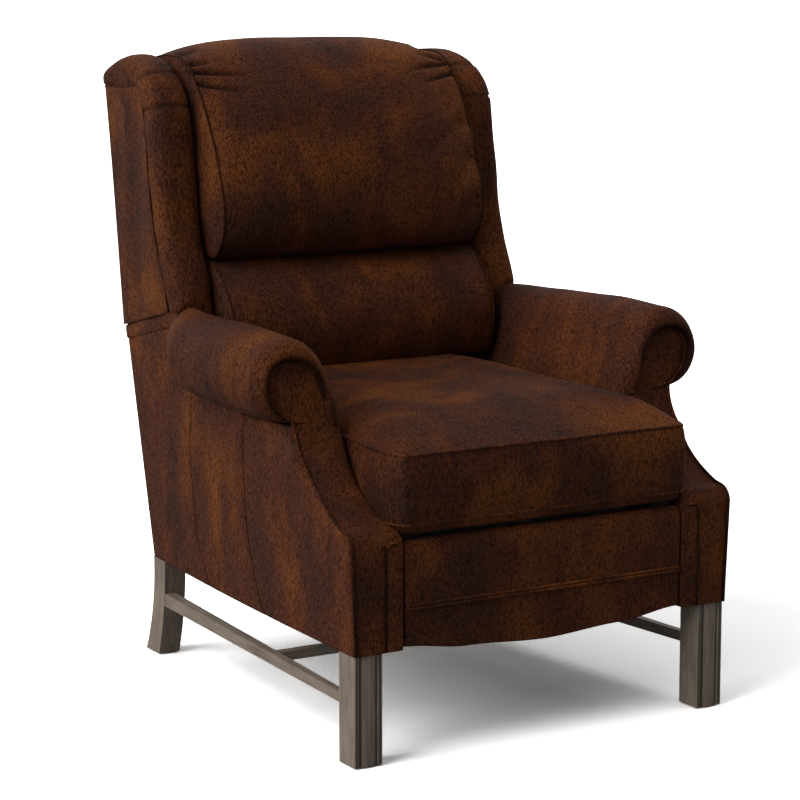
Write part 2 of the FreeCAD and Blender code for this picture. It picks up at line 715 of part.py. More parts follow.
def footrest_brackets(back_y):
    """Steel brackets on the back of the footrest, with the pins that the front links turn on."""
    y, z = footrest_pivot
    py, pz = footrest_partner_stud
    low, high = z - eye, pz + footrest_bracket_rise
    outline = [(back_y, low), (y, low), (y + eye, z), (py + eye, pz + eye / 3), (py, pz + eye), (back_y, high)]
    plate = prism_x(outline, bracket_x, bracket_x + plate_thickness)
    foot = box(bracket_x - footrest_foot_width, bracket_x + plate_thickness, back_y,
               back_y + footrest_foot_thickness, low, high)
    pin = cylinder_x(footrest_pivot, pin_radius, bracket_x, front_link_x + link_thickness)
    stud = cylinder_x(footrest_partner_stud, stud_radius, bracket_x, front_partner_x + link_thickness)
    return both(plate.fuse([foot, pin, stud]).removeSplitter())


def footrest():
    front = footrest_front_y
    board_y = front + footrest_pad_depth
    back_y = board_y + footrest_board_depth
    half, inset = footrest_half_width, footrest_board_inset
    board = box(-half + inset, half - inset, board_y, back_y, apron_end_z + inset, footrest_top_z - 2 * inset)
    keep("footrest_board", board)
    keep("footrest_brackets", footrest_brackets(back_y))
    # The padded upper part, crowned in front and rounded over the board's top
    wires = []
    turn, rear, low = footrest_round, board_y - clearance, welt_z + welt_gap / 2
    for across_share, draw_share in ((-1, 1), (-0.9, 0.2), (0, 0), (0.9, 0.2), (1, 1)):
        x, draw = half * across_share, footrest_side_draw * draw_share
        face, high = front + draw, footrest_top_z - draw
        brow = V(x, face + footrest_belly * 0.67, high - turn * 0.8)
        wires.append(Part.Wire([
            arc(V(x, face + footrest_belly, low), V(x, face, low + (high - low) * 0.4), brow),
            arc(brow, V(x, face + turn * 0.4, high - turn * 0.2), V(x, face + turn, high)),
            line(V(x, face + turn, high), V(x, rear, high)),
            line(V(x, rear, high), V(x, rear, low)),
            line(V(x, rear, low), V(x, face + footrest_belly, low))]))
    keep("footrest_pad", loft(wires))
    # The apron below, its lower edge an ogee that dips at the middle
    y, end, high = front + apron_step, apron_end_z, welt_z - welt_gap / 2
    dips = ((-1, 0), (-0.55, 0.62), (0, 1), (0.55, 0.62), (1, 0))
    points = [V(half * share, y, end - apron_drop * dip) for share, dip in dips]
    lower = spline(points, V(150, 0, 2), V(150, 0, -2))
    sides = [line(V(half, y, end), V(half, y, high)), line(V(half, y, high), V(-half, y, high)),
             line(V(-half, y, high), V(-half, y, end))]
    keep("footrest_apron", Part.Face(Part.Wire([lower] + sides)).extrude(V(0, board_y - y, 0)))


# The seat
def seat_rails():
    """Four hardwood bars under the cushion, which carry the springs."""
    x, w = seat_rail_x, seat_rail_width
    y0, y1, z0, z1 = seat_rail_front_y, seat_rail_rear_y, seat_rail_z, deck_z
    side = box(x - w, x, y0 + w, y1 - w, z0, z1)
    front = box(-x, x, y0, y0 + w, z0, z1)
    rear = box(-x, x, y1 - w, y1, z0, z1)
    return Part.makeCompound([front, rear, side, mirrored(side)])


def seat_springs():
    """Zigzag springs that run from the front rail to the rear rail, set into the rails' thickness."""
    y0 = seat_rail_front_y + seat_rail_width
    y1 = seat_rail_rear_y - seat_rail_width
    span = seat_rail_x - seat_rail_width
    count = max(2, round((y1 - y0) / spring_pitch))
    half = spring_wire / 2 * math.hypot(2 * spring_swing, spring_pitch) / spring_pitch
    springs = []
    for i in range(spring_count):
        x = -span + (i + 0.5) * 2 * span / spring_count
        path = [(x + spring_swing * (0 if k in (0, count) else (-1) ** k), y0 + (y1 - y0) * k / count)
                for k in range(count + 1)]
        outline = [(sx - half, y) for sx, y in path] + [(sx + half, y) for sx, y in path[::-1]]
        springs.append(prism_z(outline, deck_z - 2 * spring_wire, deck_z - spring_wire))
    return Part.makeCompound(springs)


def seat_deck():
    return box(-seat_rail_x, seat_rail_x, seat_rail_front_y, seat_rail_rear_y, deck_z, deck_z + deck_thickness)


def seat_cushion():
    """A boxed cushion: crowned top, side panels that swell between their two seams, flat underneath."""
    base = deck_z + deck_thickness + clearance
    half = cushion_half_width
    front = footrest_front_y - cushion_front_gap
    span = cushion_rear_y - front
    rise = cushion_crown_z - cushion_front_z
    low = cushion_low_z
    tuck_radius = (cushion_tuck ** 2 + (low - base) ** 2) / (2 * (low - base))
    tuck_turn = math.atan2(cushion_tuck, tuck_radius - (low - base)) / 2
    tuck_x, tuck_z = tuck_radius * math.sin(tuck_turn), base + tuck_radius * (1 - math.cos(tuck_turn))
    # Shares: way back, drawing in of the sides, height of the side seam, height of the crown
    stations = ((0, 0.4, 0, 0.10), (0.018, 0, 0, 0.16), (0.30, 0, 0.38, 0.80), (0.65, 0, 0.64, 1),
                (0.93, 0, 0.60, 0.86), (1, 1, 0.40, 0.50))
    wires = []
    for along, draw_share, seam_share, crown_share in stations:
        y = front + span * along
        seam = cushion_front_z + rise * seam_share
        crown = cushion_front_z + rise * crown_share
        x = half - cushion_rear_draw * draw_share
        edge = x - cushion_bulge
        foot = edge - cushion_tuck
        wires.append(Part.Wire([
            arc(V(-edge, y, seam), V(0, y, crown), V(edge, y, seam)),
            arc(V(edge, y, seam), V(x, y, (seam + low) / 2), V(edge, y, low)),
            arc(V(edge, y, low), V(foot + tuck_x, y, tuck_z), V(foot, y, base)),
            line(V(foot, y, base), V(-foot, y, base)),
            arc(V(-foot, y, base), V(-foot - tuck_x, y, tuck_z), V(-edge, y, low)),
            arc(V(-edge, y, low), V(-x, y, (seam + low) / 2), V(-edge, y, seam))]))
    return loft(wires)


# The back
def raked_bar(x0, x1, offset0, offset1, z0, z1):
    """A bar that lies along the raked rear face, between two depths in front of it."""
    return prism_x([(rear_y(z0) - offset0, z0), (rear_y(z0) - offset1, z0), (rear_y(z1) - offset1, z1),
                    (rear_y(z1) - offset0, z1)], x0, x1)


def back_posts():
    return raked_bar(back_post_x - back_post_width, back_post_x, back_front_offset, back_post_inset,
                     back_post_bottom, back_post_top)


def back_rail(z0):
    half = back_post_x - back_post_width
    return raked_bar(-half, half, back_front_offset, back_post_inset, z0, z0 + back_rail_height)


def back_webbing():
    """Elastic straps across the front of the back frame."""
    low = back_post_bottom + back_rail_height + webbing_margin
    high = back_post_top - back_rail_height - webbing_margin - webbing_width
    straps = []
    for i in range(webbing_count):
        z = low + (high - low) * i / (webbing_count - 1)
        straps.append(raked_bar(-back_post_x, back_post_x, back_front_offset + webbing_thickness,
                                back_front_offset, z, z + webbing_width))
    return Part.makeCompound(straps)


def back_brackets():
    """Steel arms on the back posts: the recline pivot above, the pivot with the seat below."""
    x0 = back_post_x
    bar = link([recline_pivot, seat_back_pivot], back_bracket_half_width, x0, plate_thickness)
    inset = back_pad_inset
    pad = raked_bar(x0, x0 + plate_thickness, back_front_offset - inset, back_post_inset + inset,
                    back_post_bottom + inset, recline_pivot[1] - back_pad_short)
    bar = bar.fuse(pad).removeSplitter()
    bar = drilled(bar, [recline_pivot], recline_pin_radius + running_clearance, x0, x0 + plate_thickness)
    return both(drilled(bar, [seat_back_pivot], pin_radius + open_clearance, x0, x0 + plate_thickness))


def pillow(sections):
    """A loft across the back: each section is its outline in the Y-Z plane as lists of edge points."""
    wires = []
    for x, runs in sections:
        edges = []
        for run in runs:
            points = [V(x, *p) for p in run]
            edges.append(arc(*points) if len(points) == 3 else line(*points))
        wires.append(Part.Wire(edges))
    return loft(wires)


def across(build):
    """Sections from side to side: drawn in at the sides and fullest at the middle."""
    fullness = ((-1, 0), (-0.92, 0.45), (-0.5, 0.86), (0, 1), (0.5, 0.86), (0.92, 0.45), (1, 0))
    return [(pillow_half_width * share, build(full)) for share, full in fullness]


def head_pillow():
    low = pillow_split_z + pillow_seam / 2
    height = pillow_top_z - low
    bed = back_post_top + clearance
    rear = rear_y(bed) - rear_panel_thickness - clearance

    def build(full):
        crown = pillow_crown * full
        top = pillow_top_z - pillow_side_drop * (1 - full)
        crease = (crease_y - crease_tuck * full, low)
        shoulder = (crease_y - head_shoulder - crown, low + height * 0.467)
        brow = (crease_y + head_top_lean - crown * 0.5, top - head_top_round)
        back_top = (rear - head_top_round * 0.2, top - head_top_round * 0.63)
        behind = [(rear_y(z) - pillow_back_offset, z) for z in (bed, low)]
        return [[crease, (crease_y - head_belly - crown, low + height * 0.168), shoulder],
                [shoulder, (crease_y + head_top_lean * 0.15 - crown, low + height * 0.674), brow],
                [brow, (crease_y + head_top_lean * 2.5 - crown * 0.5, top), back_top],
                [back_top, (rear, bed)], [(rear, bed), behind[0]], behind, [behind[1], crease]]
    return pillow(across(build))


def lumbar_pillow():
    low, high = cushion_crown_z + panel_gap, pillow_split_z - pillow_seam / 2

    def build(full):
        crown = lumbar_crown * full
        crease = (crease_y - crease_tuck * full, high)
        belly = (crease_y - lumbar_belly - crown, low + (high - low) * 0.46)
        foot = (crease_y - lumbar_foot - crown * 0.75, low)
        behind = [(rear_y(z) - pillow_back_offset, z) for z in (high, low)]
        return [[foot, (crease_y - lumbar_belly + 1 - crown, low + (high - low) * 0.22), belly],
                [belly, (crease_y - lumbar_belly * 0.84 - crown * 0.9, low + (high - low) * 0.79), crease],
                [crease, behind[0]], behind, [behind[1], foot]]
    return pillow(across(build))


def wing_section(z):
    """A section across a wing: flat inside, rolled front edge, slightly tapering outside."""
    rear = rear_y(z) - rear_panel_thickness
    lean = wing_front_lean * max(0.0, z - wing_lean_z)
    foot_top = back_bottom_z + wing_foot_height
    spread = wing_foot_spread * max(0.0, (foot_top - z) / wing_foot_height) ** 1.6
    over = max(0.0, z - wing_top_z + wing_shoulder) / wing_shoulder
    front = wing_front_y + lean - spread + wing_shoulder_depth * over ** 2.2
    outer = wing_outer_front_x - 4 * over
    middle = (wing_inner_x + outer) / 2
    turn = front + wing_roll_depth
    side = (middle - wing_inner_x) * (1 - math.sqrt(0.5))
    nose = wing_roll_depth * (1 - math.sqrt(0.5))
    return Part.Wire([
        arc(V(wing_inner_x, turn, z), V(wing_inner_x + side, front + nose, z), V(middle, front, z)),
        arc(V(middle, front, z), V(outer - side, front + nose, z), V(outer, turn, z)),
        line(V(outer, turn, z), V(wing_outer_rear_x, rear, z)),
        line(V(wing_outer_rear_x, rear, z), V(wing_inner_x, rear, z)),
        line(V(wing_inner_x, rear, z), V(wing_inner_x, turn, z))])


def wings():
    """The wing as one form, then parted into its padded inside and the panel on its outside."""
    rises = (0, 0.36 * wing_foot_height, 0.8 * wing_foot_height, 1.7 * wing_foot_height)
    heights = [back_bottom_z + rise for rise in rises]
    heights += [wing_top_z - wing_shoulder * share for share in (1, 0.5, 0.2, 0)]
    whole = loft([wing_section(z) for z in heights])
    whole = whole.cut(box(0, beyond, 0, roll_rear_y + wing_clear_behind, 0, arm_top_z + wing_clear_of_roll))
    # The top falls away from the front arch to the rear corner
    rear = rear_y(wing_top_z)
    crest, z = rear - wing_crest_depth, wing_top_z
    corner = V(0, rear, z - wing_top_fall)
    fall = arc(V(0, crest, z), V(0, crest + wing_crest_depth * 0.476, z - wing_top_fall * 0.25), corner)
    top_cut = Part.Face(Part.Wire([fall, line(corner, V(0, rear, beyond)),
                                   line(V(0, rear, beyond), V(0, crest, beyond)),
                                   line(V(0, crest, beyond), V(0, crest, z))])).extrude(V(beyond, 0, 0))
    whole = largest(whole.cut(top_cut))
    front = wing_front_y + wing_seam_depth
    slope = wing_draw_in / (rear - front)
    inner_front = wing_outer_front_x - panel_thickness
    outline = [(inner_front, front), (beyond, front), (beyond, beyond),
               (inner_front - slope * (beyond - front), beyond)]
    slab = prism_z(outline, 0, beyond)
    return largest(whole.cut(slab)), largest(whole.common(slab))


def raked_panel(outline, offset0, offset1):
    """An (x, z) outline drawn out to a panel that lies along the raked rear face."""
    solid = Part.Face(outline).extrude(V(0, beyond, 0))
    return solid.common(raked_bar(-beyond, beyond, offset0, offset1, 0, beyond))


def outer_back_panel():
    half = wing_outer_rear_x
    low, high = back_bottom_z + panel_gap, outer_back_top_z
    outline = Part.Wire([line(V(-half, 0, low), V(half, 0, low)), line(V(half, 0, low), V(half, 0, high)),
                         arc(V(half, 0, high), V(0, 0, high + outer_back_arch), V(-half, 0, high)),
                         line(V(-half, 0, high), V(-half, 0, low))])
    return raked_panel(outline, rear_panel_thickness, 0)


def lower_back_panel():
    """The fixed outside back, between the side panels and below the part that reclines."""
    wires = []
    for z in (hem_z, split_z):
        half = plan_x(rear_y(z), z) - panel_thickness - lower_panel_gap
        wires.append(rectangle(-half, half, rear_y(z) - lower_panel_thickness, rear_y(z), z))
    return loft(wires)


def base_rail(y):
    return box(-side_rail_x, side_rail_x, y, y + base_rail_depth, base_rail_z, mounting_z)


# Building and writing
def build():
    leg, rear = front_leg(), rear_leg()
    keep_pair("front_leg", leg)
    keep_pair("rear_leg", rear)
    side = side_stretcher(rear)
    keep_pair("side_stretcher", side)
    keep("cross_stretcher", cross_stretcher(both(side)))
    keep("leg_glides", leg_glides())
    bolts = [leg_bolt(*front_bolt_place()), leg_bolt(*rear_bolt_place())]
    keep("leg_bolts", Part.makeCompound(bolts + [mirrored(b) for b in bolts]))
    keep_pair("front_post", front_post())
    keep_pair("side_rail", side_rail())
    keep_pair("arm_board", arm_board())
    keep("base_cross_rail", base_rail(cross_rail_y))
    keep("base_rear_rail", base_rail(rear_leg_y - base_rail_depth - base_rail_gap))
    keep("mounting_rails", mounting_rails())
    keep("base_pivot_pins", base_pivot_pins())
    keep_pair("inner_arm_pad", inner_arm_pad())
    keep_pair("arm_roll", arm_roll())
    keep_pair("arm_facing", arm_facing())
    keep_pair("front_strip", front_strip())
    keep_pair("outer_side_panel", outer_side_panel())
    keep("lower_back_panel", lower_back_panel())
    keep_pair("back_post", back_posts())
    keep("back_top_rail", back_rail(back_post_top - back_rail_height))
    keep("back_bottom_rail", back_rail(back_post_bottom))
    keep("back_webbing", back_webbing())
    keep("back_brackets", back_brackets())
    keep("head_pillow", head_pillow())
    keep("lumbar_pillow", lumbar_pillow())
    wing, panel = wings()
    keep_pair("wing", wing)
    keep_pair("wing_panel", panel)
    keep("outer_back_panel", outer_back_panel())
    keep("seat_side_plates", seat_side_plates())
    keep("seat_pivot_pins", seat_pivot_pins())
    keep("seat_rails", seat_rails())
    keep("seat_springs", seat_springs())
    keep("seat_deck", seat_deck())
    keep("seat_cushion", seat_cushion())
    keep("swing_links", swing_links())
    keep("rear_links", rear_links())
    keep("knee_pins", knee_pins())
    keep("torque_tube", torque_tube())
    keep("rear_partner_links", rear_partner_links())
    keep("front_links", front_links())
    keep("front_partner_links", front_partner_links())
    footrest()


def write():
    os.makedirs("parts", exist_ok=True)
    front = -cover_proud
    rear = parts["outer_back_panel"].optimalBoundingBox(False, False).YMax
    middle = V(0, -(front + rear) / 2, 0)
    for name, shape in parts.items():
        shape.translated(middle).exportStep(f"parts/{name}.step")
    return middle.y


build()
shift = write()
for name, shape in parts.items():
    if not shape.isValid():
        print("not valid:", name)
pivots = {"recline": recline_pivot, "seat_back": seat_back_pivot, "swing_high": swing_high_pivot,
          "swing_low": swing_low_pivot, "rear": rear_pivot, "rear_partner": partner_pivot, "knee": knee,
          "knee_front_partner": knee_front_partner, "footrest": footrest_pivot}
for name, place in pivots.items():
    print(name, "pivot", round(place[0] + shift, 3), round(place[1], 3))
print("nodes", len(parts), "shift", round(shift, 4))
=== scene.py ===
import json
import math
import bpy
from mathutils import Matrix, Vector, noise


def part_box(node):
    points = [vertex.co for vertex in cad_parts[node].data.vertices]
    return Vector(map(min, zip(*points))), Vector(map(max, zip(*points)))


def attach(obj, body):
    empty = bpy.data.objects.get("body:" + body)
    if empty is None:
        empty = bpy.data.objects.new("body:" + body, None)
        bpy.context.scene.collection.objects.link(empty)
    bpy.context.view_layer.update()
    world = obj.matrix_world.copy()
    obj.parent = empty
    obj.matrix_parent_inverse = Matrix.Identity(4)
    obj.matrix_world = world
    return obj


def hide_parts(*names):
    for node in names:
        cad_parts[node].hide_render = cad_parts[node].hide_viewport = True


bl_info = {
    "name": "Wing recliner",
    "version": (1, 0, 0),
    "blender": (4, 5, 0),
    "location": "3D View > Sidebar > Recliner",
    "description": "Dresses the packed frame of a leather wing recliner",
    "category": "Object",
}

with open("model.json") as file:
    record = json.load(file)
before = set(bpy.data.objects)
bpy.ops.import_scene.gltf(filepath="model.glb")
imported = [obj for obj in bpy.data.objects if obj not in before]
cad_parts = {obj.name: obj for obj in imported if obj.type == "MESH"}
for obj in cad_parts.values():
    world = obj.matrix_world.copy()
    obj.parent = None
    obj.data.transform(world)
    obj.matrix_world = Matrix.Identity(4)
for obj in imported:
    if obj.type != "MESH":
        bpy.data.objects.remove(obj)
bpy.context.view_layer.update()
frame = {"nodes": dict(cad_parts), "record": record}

# Lengths in this script are millimetres, with y = 0 at the front plane of the front legs, z = 0 on the
# floor and x = 0 in the middle. The frame is in metres, and at() brings a point into it.
MM = 0.001
POST_FACE = 10.0                                   # from the leg plane back to the wooden front posts
LEG_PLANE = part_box("front_post_left")[0].y / MM - POST_FACE
SIDES = (("left", 1), ("right", -1))

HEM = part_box("outer_side_panel_left")[0].z / MM
INNER_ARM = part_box("inner_arm_pad_left")[0].x / MM
SIDE_FRONT, SIDE_DRAW, SIDE_LENGTH, SIDE_BOW, SIDE_FLARE = 352.0, 52.0, 789.0, 30.0, 0.045
REAR_HEM, REAR_RAKE = 775.0, math.tan(math.radians(10.7))


def at(p):
    """A point of this script in the frame's metres."""
    return p[0] * MM, (p[1] + LEG_PLANE) * MM, p[2] * MM


def place_of(vertex):
    """A vertex's place in millimetres, the opposite of at()."""
    x, y, z = vertex.co
    return Vector((x / MM, y / MM - LEG_PLANE, z / MM))


def rear_y(z):
    """Where the outside back stands at a height."""
    return REAR_HEM + (z - HEM) * REAR_RAKE


def plan_x(y, z):
    """The outer side of the fixed part."""
    s = y / SIDE_LENGTH
    return SIDE_FRONT - SIDE_DRAW * s + SIDE_BOW * s * (1 - s) + SIDE_FLARE * (z - HEM)


# Curves and surfaces
def even(points, count):
    """count points at even distances along a run of points."""
    run = [0.0]
    for a, b in zip(points, points[1:]):
        run.append(run[-1] + (b - a).length)
    out, k = [], 0
    for i in range(count):
        want = run[-1] * i / (count - 1)
        while k < len(points) - 2 and run[k + 1] < want:
            k += 1
        step = run[k + 1] - run[k]
        out.append(points[k].lerp(points[k + 1], 0.0 if step == 0 else min(1.0, (want - run[k]) / step)))
    return out


def through(keys, count=None):
    """A smooth curve through a few points; with a count, as that many evenly spaced points."""
    keys = [Vector(k) for k in keys]
    steps = [max((b - a).length, 1e-6) for a, b in zip(keys, keys[1:])]
    slopes = [(b - a) / s for a, b, s in zip(keys, keys[1:], steps)]
    bends = [(p * t + q * s) / (s + t) for p, q, s, t in zip(slopes, slopes[1:], steps, steps[1:])]
    tangents = slopes[:1] + bends + slopes[-1:]
    dense = []
    for k, s in enumerate(steps):
        for t in (i / 12 for i in range(12)):
            dense.append(keys[k] * (2 * t ** 3 - 3 * t * t + 1) + tangents[k] * s * (t ** 3 - 2 * t * t + t)
                         + keys[k + 1] * (3 * t * t - 2 * t ** 3) + tangents[k + 1] * s * (t ** 3 - t * t))
    dense.append(keys[-1])
    return dense if count is None else even(dense, count)


def value(keys, t):
    """A smooth value at t from a few (t, value) keys."""
    if t <= keys[0][0]:
        return keys[0][1]
    for (t0, v0), (t1, v1) in zip(keys, keys[1:]):
        if t <= t1:
            s = (t - t0) / (t1 - t0)
            return v0 + (v1 - v0) * s * s * (3 - 2 * s)
    return keys[-1][1]


def clamp(t):
    """t, kept between 0 and 1."""
    return max(0.0, min(1.0, t))


def net(point, nu, nv):
    """Rows of what point gives for (u, v) from 0 to 1, in nu by nv steps."""
    return [[point(i / nu, j / nv) for i in range(nu + 1)] for j in range(nv + 1)]


def coons(bottom, top, left, right):
    """Rows of points inside four edge runs: bottom and top run one way, left and right the other."""
    rows = []
    nv, nu = len(left) - 1, len(bottom) - 1
    for j in range(nv + 1):
        v = j / nv
        row = []
        for i in range(nu + 1):
            u = i / nu
            ruled = bottom[i].lerp(top[i], v) + left[j].lerp(right[j], u)
            corners = bottom[0].lerp(bottom[-1], u).lerp(top[0].lerp(top[-1], u), v)
            row.append(ruled - corners)
        rows.append(row)
    return rows


# Meshes
def only(obj):
    """Selects one object, and makes it the active one."""
    bpy.ops.object.select_all(action="DESELECT")
    obj.select_set(True)
    bpy.context.view_layer.objects.active = obj


def grid(name, rows):
    """A grid primitive with its points set row by row."""
    bpy.ops.object.select_all(action="DESELECT")
    bpy.ops.mesh.primitive_grid_add(x_subdivisions=len(rows[0]) - 1, y_subdivisions=len(rows) - 1, size=1)
    obj = bpy.context.active_object
    obj.name = obj.data.name = name
    obj.data.vertices.foreach_set("co", [c for row in rows for p in row for c in at(p)])
    obj.data.update()
    return obj


def joined(name, parts):
    """One object from several."""
    only(parts[0])
    for part in parts:
        part.select_set(True)
    bpy.ops.object.join()
    obj = bpy.context.active_object
    obj.name = obj.data.name = name
    return obj


def closed(obj):
    """Merges points that lie together and turns the faces outwards."""
    only(obj)
    bpy.ops.object.mode_set(mode="EDIT")
    bpy.ops.mesh.select_all(action="SELECT")
    bpy.ops.mesh.remove_doubles(threshold=0.08 * MM)
    bpy.ops.mesh.normals_make_consistent(inside=False)
    bpy.ops.object.mode_set(mode="OBJECT")
    return obj


def turned(obj, outward):
    """Merges an open sheet's points and turns its faces to look outward."""
    closed(obj)
    look = sum((f.normal * f.area for f in obj.data.polygons), Vector())
    if look.dot(Vector(outward)) < 0:
        bpy.ops.object.mode_set(mode="EDIT")
        bpy.ops.mesh.select_all(action="SELECT")
        bpy.ops.mesh.flip_normals()
        bpy.ops.object.mode_set(mode="OBJECT")
    return obj


def apply(obj, kind, **settings):
    """Adds one modifier and applies it."""
    only(obj)
    mod = obj.modifiers.new(kind.title(), kind)
    for key, setting in settings.items():
        setattr(mod, key, setting)
    bpy.ops.object.modifier_apply(modifier=mod.name)
    return obj


def refine(obj, levels=1):
    """Subdivides a mesh into a smooth one."""
    return apply(obj, "SUBSURF", levels=levels, render_levels=levels)


def thick(obj, thickness):
    """Gives an open sheet its thickness, in millimetres, on the inner side."""
    return apply(obj, "SOLIDIFY", thickness=thickness * MM, offset=-1)


def panel(name, rows, outward, thickness, edge, segments=2):
    """A leather panel with rounded edges, from rows of points on its outer face."""
    made = thick(turned(grid(name, rows), outward), thickness)
    return apply(made, "BEVEL", width=edge * MM, segments=segments, limit_method="ANGLE")


def tube(name, points, radius, up, loop=False, around=8):
    """A round cord along points. up is a direction that the points never run along."""
    points = [Vector(p) for p in points]
    if loop:
        points = points + points[:1]
    rows, last = [], len(points) - 1
    for k, p in enumerate(points):
        before = points[k - 1] if k else (points[-2] if loop else p)
        after = points[k + 1] if k < last else (points[1] if loop else p)
        along = (after - before).normalized()
        side = along.cross(Vector(up)).normalized()
        over = side.cross(along)
        rows.append([p + (side * math.cos(a) + over * math.sin(a)) * radius
                     for a in (2 * math.pi * i / around for i in range(around + 1))])
    if not loop:
        rows = [[points[0]] * (around + 1)] + rows + [[points[-1]] * (around + 1)]
    return closed(grid(name, rows))


def boxed(name, face, back, cells, bulge, square=1.0):
    """A closed cover of two panels with a band between their edges. face and back give a point for
    (u, v) from 0 to 1, and bulge how far the band swells out there: round, or squarer below 1.
    Returns it and the two seams."""
    nu, nv, nb = cells
    grids = [[[Vector(shape(i / nu, j / nv)) for i in range(nu + 1)] for j in range(nv + 1)]
             for shape in (face, back)]
    loop = [(i, 0) for i in range(nu)] + [(nu, j) for j in range(nv)]
    loop += [(i, nv) for i in range(nu, 0, -1)] + [(0, j) for j in range(nv, 0, -1)]
    seams = [[g[j][i] for i, j in loop] for g in grids]
    middle = sum(seams[0] + seams[1], Vector((0, 0, 0))) / (2 * len(loop))
    bands = [[] for _ in range(nb + 1)]
    for k, (i, j) in enumerate(loop + loop[:1]):
        k %= len(loop)
        a, b = seams[0][k], seams[1][k]
        along = seams[0][(k + 1) % len(loop)] - seams[0][k - 1] + seams[1][(k + 1) % len(loop)] - seams[1][k - 1]
        width = b - a
        out = along.cross(width) if width.length > 0.1 else Vector((0, 0, 0))
        if out.length > 0:
            out.normalize()
            if out.dot((a + b) / 2 - middle) < 0:
                out.negate()
        swell = bulge(i / nu, j / nv)
        for m, row in enumerate(bands):
            c, d = math.cos(math.pi * m / nb), math.sin(math.pi * m / nb)
            c, d = math.copysign(abs(c) ** square, c), max(0.0, d) ** square
            row.append((a + b) / 2 - width / 2 * c + out * swell * d)
    obj = joined(name, [grid(name, rows) for rows in grids + [bands]])
    return closed(obj), seams


def moved(obj, shift):
    """Moves each point of a mesh by what shift gives for its place and normal, in millimetres."""
    points = [(place_of(v), v.normal.copy()) for v in obj.data.vertices]
    obj.data.vertices.foreach_set("co", [c for p, normal in points for c in at(p + shift(p, normal))])
    obj.data.update()


def near(p, run):
    """The distance from p to a run of points."""
    best = 1e9
    for a, b in zip(run, run[1:]):
        step = b - a
        t = clamp((p - a).dot(step) / max(step.length_squared, 1e-9))
        best = min(best, (p - a - step * t).length)
    return best


def y_on(run, z):
    """y where a run of (y, z) points reaches z."""
    for a, b in zip(run, run[1:]):
        if (a.y - z) * (b.y - z) <= 0 and a.y != b.y:
            return a.x + (b.x - a.x) * (z - a.y) / (b.y - a.y)
    return run[0].x if z < run[0].y else run[-1].x


def mark(obj, amount):
    """Stores how deep each point lies in a fold, seam or recess, 0 to 1, for the leather to darken there as painted
    shade.
    """
    layer = obj.data.attributes.new("folds", "FLOAT", "POINT")
    layer.data.foreach_set("value", [min(1.0, amount(place_of(v))) for v in obj.data.vertices])


def fold(p, a, b, width, facing):
    """How near p is to a fold that runs from a to b and fades towards b: 1 on it, 0 away from it. The
    distance is measured across the direction that the fold faces."""
    a, facing = Vector(a), Vector(facing)
    run, way = Vector(b) - a, p - a
    run, way = run - facing * run.dot(facing), way - facing * way.dot(facing)
    t = clamp(way.dot(run) / run.length_squared)
    d = (way - run * t).length / width
    return math.exp(-d * d) * (1 - t) ** 0.5 * min(1.0, t / 0.04 + 0.5)


def inflate(obj, held, cap):
    """Fills a closed cover by cloth simulation. The points in held stay, as seams hold them, and no point
    moves more than cap."""
    keep = {tuple(round(c, 1) for c in p) for run in held for p in run}
    before = [v.co.copy() for v in obj.data.vertices]
    fixed = [v.index for v in obj.data.vertices
             if (round(v.co.x / MM, 1), round(v.co.y / MM - LEG_PLANE, 1), round(v.co.z / MM, 1)) in keep]
    group = obj.vertex_groups.new(name="seams")
    group.add(fixed, 1.0, "REPLACE")
    only(obj)
    mod = obj.modifiers.new("Cloth", "CLOTH")
    cloth = mod.settings
    cloth.use_pressure = True
    cloth.uniform_pressure_force = sizes().pressure
    cloth.vertex_group_mass = group.name
    cloth.tension_stiffness = cloth.compression_stiffness = 25
    cloth.bending_stiffness = 2.0
    cloth.quality = 5
    cloth.effector_weights.gravity = 0
    mod.collision_settings.use_collision = False
    mod.point_cache.frame_start, mod.point_cache.frame_end = 1, 20
    for f in range(1, 21):
        bpy.context.scene.frame_set(f)
    bpy.ops.object.modifier_apply(modifier=mod.name)
    obj.vertex_groups.clear()
    for v, start in zip(obj.data.vertices, before):
        step = v.co - start
        if step.length > cap * MM:
            v.co = start + step * (cap * MM / step.length)
    bpy.context.scene.frame_set(1)


def placed(obj, body, material, *nodes, fill=None):
    """Gives a finished leather piece its material and its body, and hides the CAD nodes that it stands for."""
    only(obj)
    bpy.ops.object.shade_smooth()
    obj.data.materials.clear()
    obj.data.materials.append(material)
    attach(obj, body)
    if nodes:
        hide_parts(*nodes)


# Materials
def linear(hex_colour):
    """An sRGB hex colour as linear red, green and blue."""
    parts = [int(hex_colour[i:i + 2], 16) / 255 for i in (1, 3, 5)]
    return [c / 12.92 if c <= 0.04045 else ((c + 0.055) / 1.055) ** 2.4 for c in parts]


def fill_in(tree, made, inputs):
    """Links or sets a node's inputs."""
    for key, given in inputs.items():
        if isinstance(given, bpy.types.NodeSocket):
            tree.links.new(given, made.inputs[key])
        else:
            made.inputs[key].default_value = given


def add(tree, kind, inputs=None, stops=(), **settings):
    """Adds a node with its settings and inputs. A colour ramp has (place, colour) stops too; a colour is a hex
    string or a grey value."""
    made = tree.nodes.new(kind)
    for key, setting in settings.items():
        setattr(made, key, setting)
    fill_in(tree, made, inputs or {})
    if stops:
        band = made.color_ramp.elements
        while len(band) < len(stops):
            band.new(0.5)
        for element, (place, colour) in zip(band, stops):
            element.position = place
            element.color = (*(linear(colour) if isinstance(colour, str) else [colour] * 3), 1)
    return made


def shell(name):
    """A new material with its tree, its shader and its object coordinates."""
    made = bpy.data.materials.new(name)
    made.use_nodes = True
    tree = made.node_tree
    return made, tree, tree.nodes["Principled BSDF"], add(tree, "ShaderNodeTexCoord").outputs["Object"]


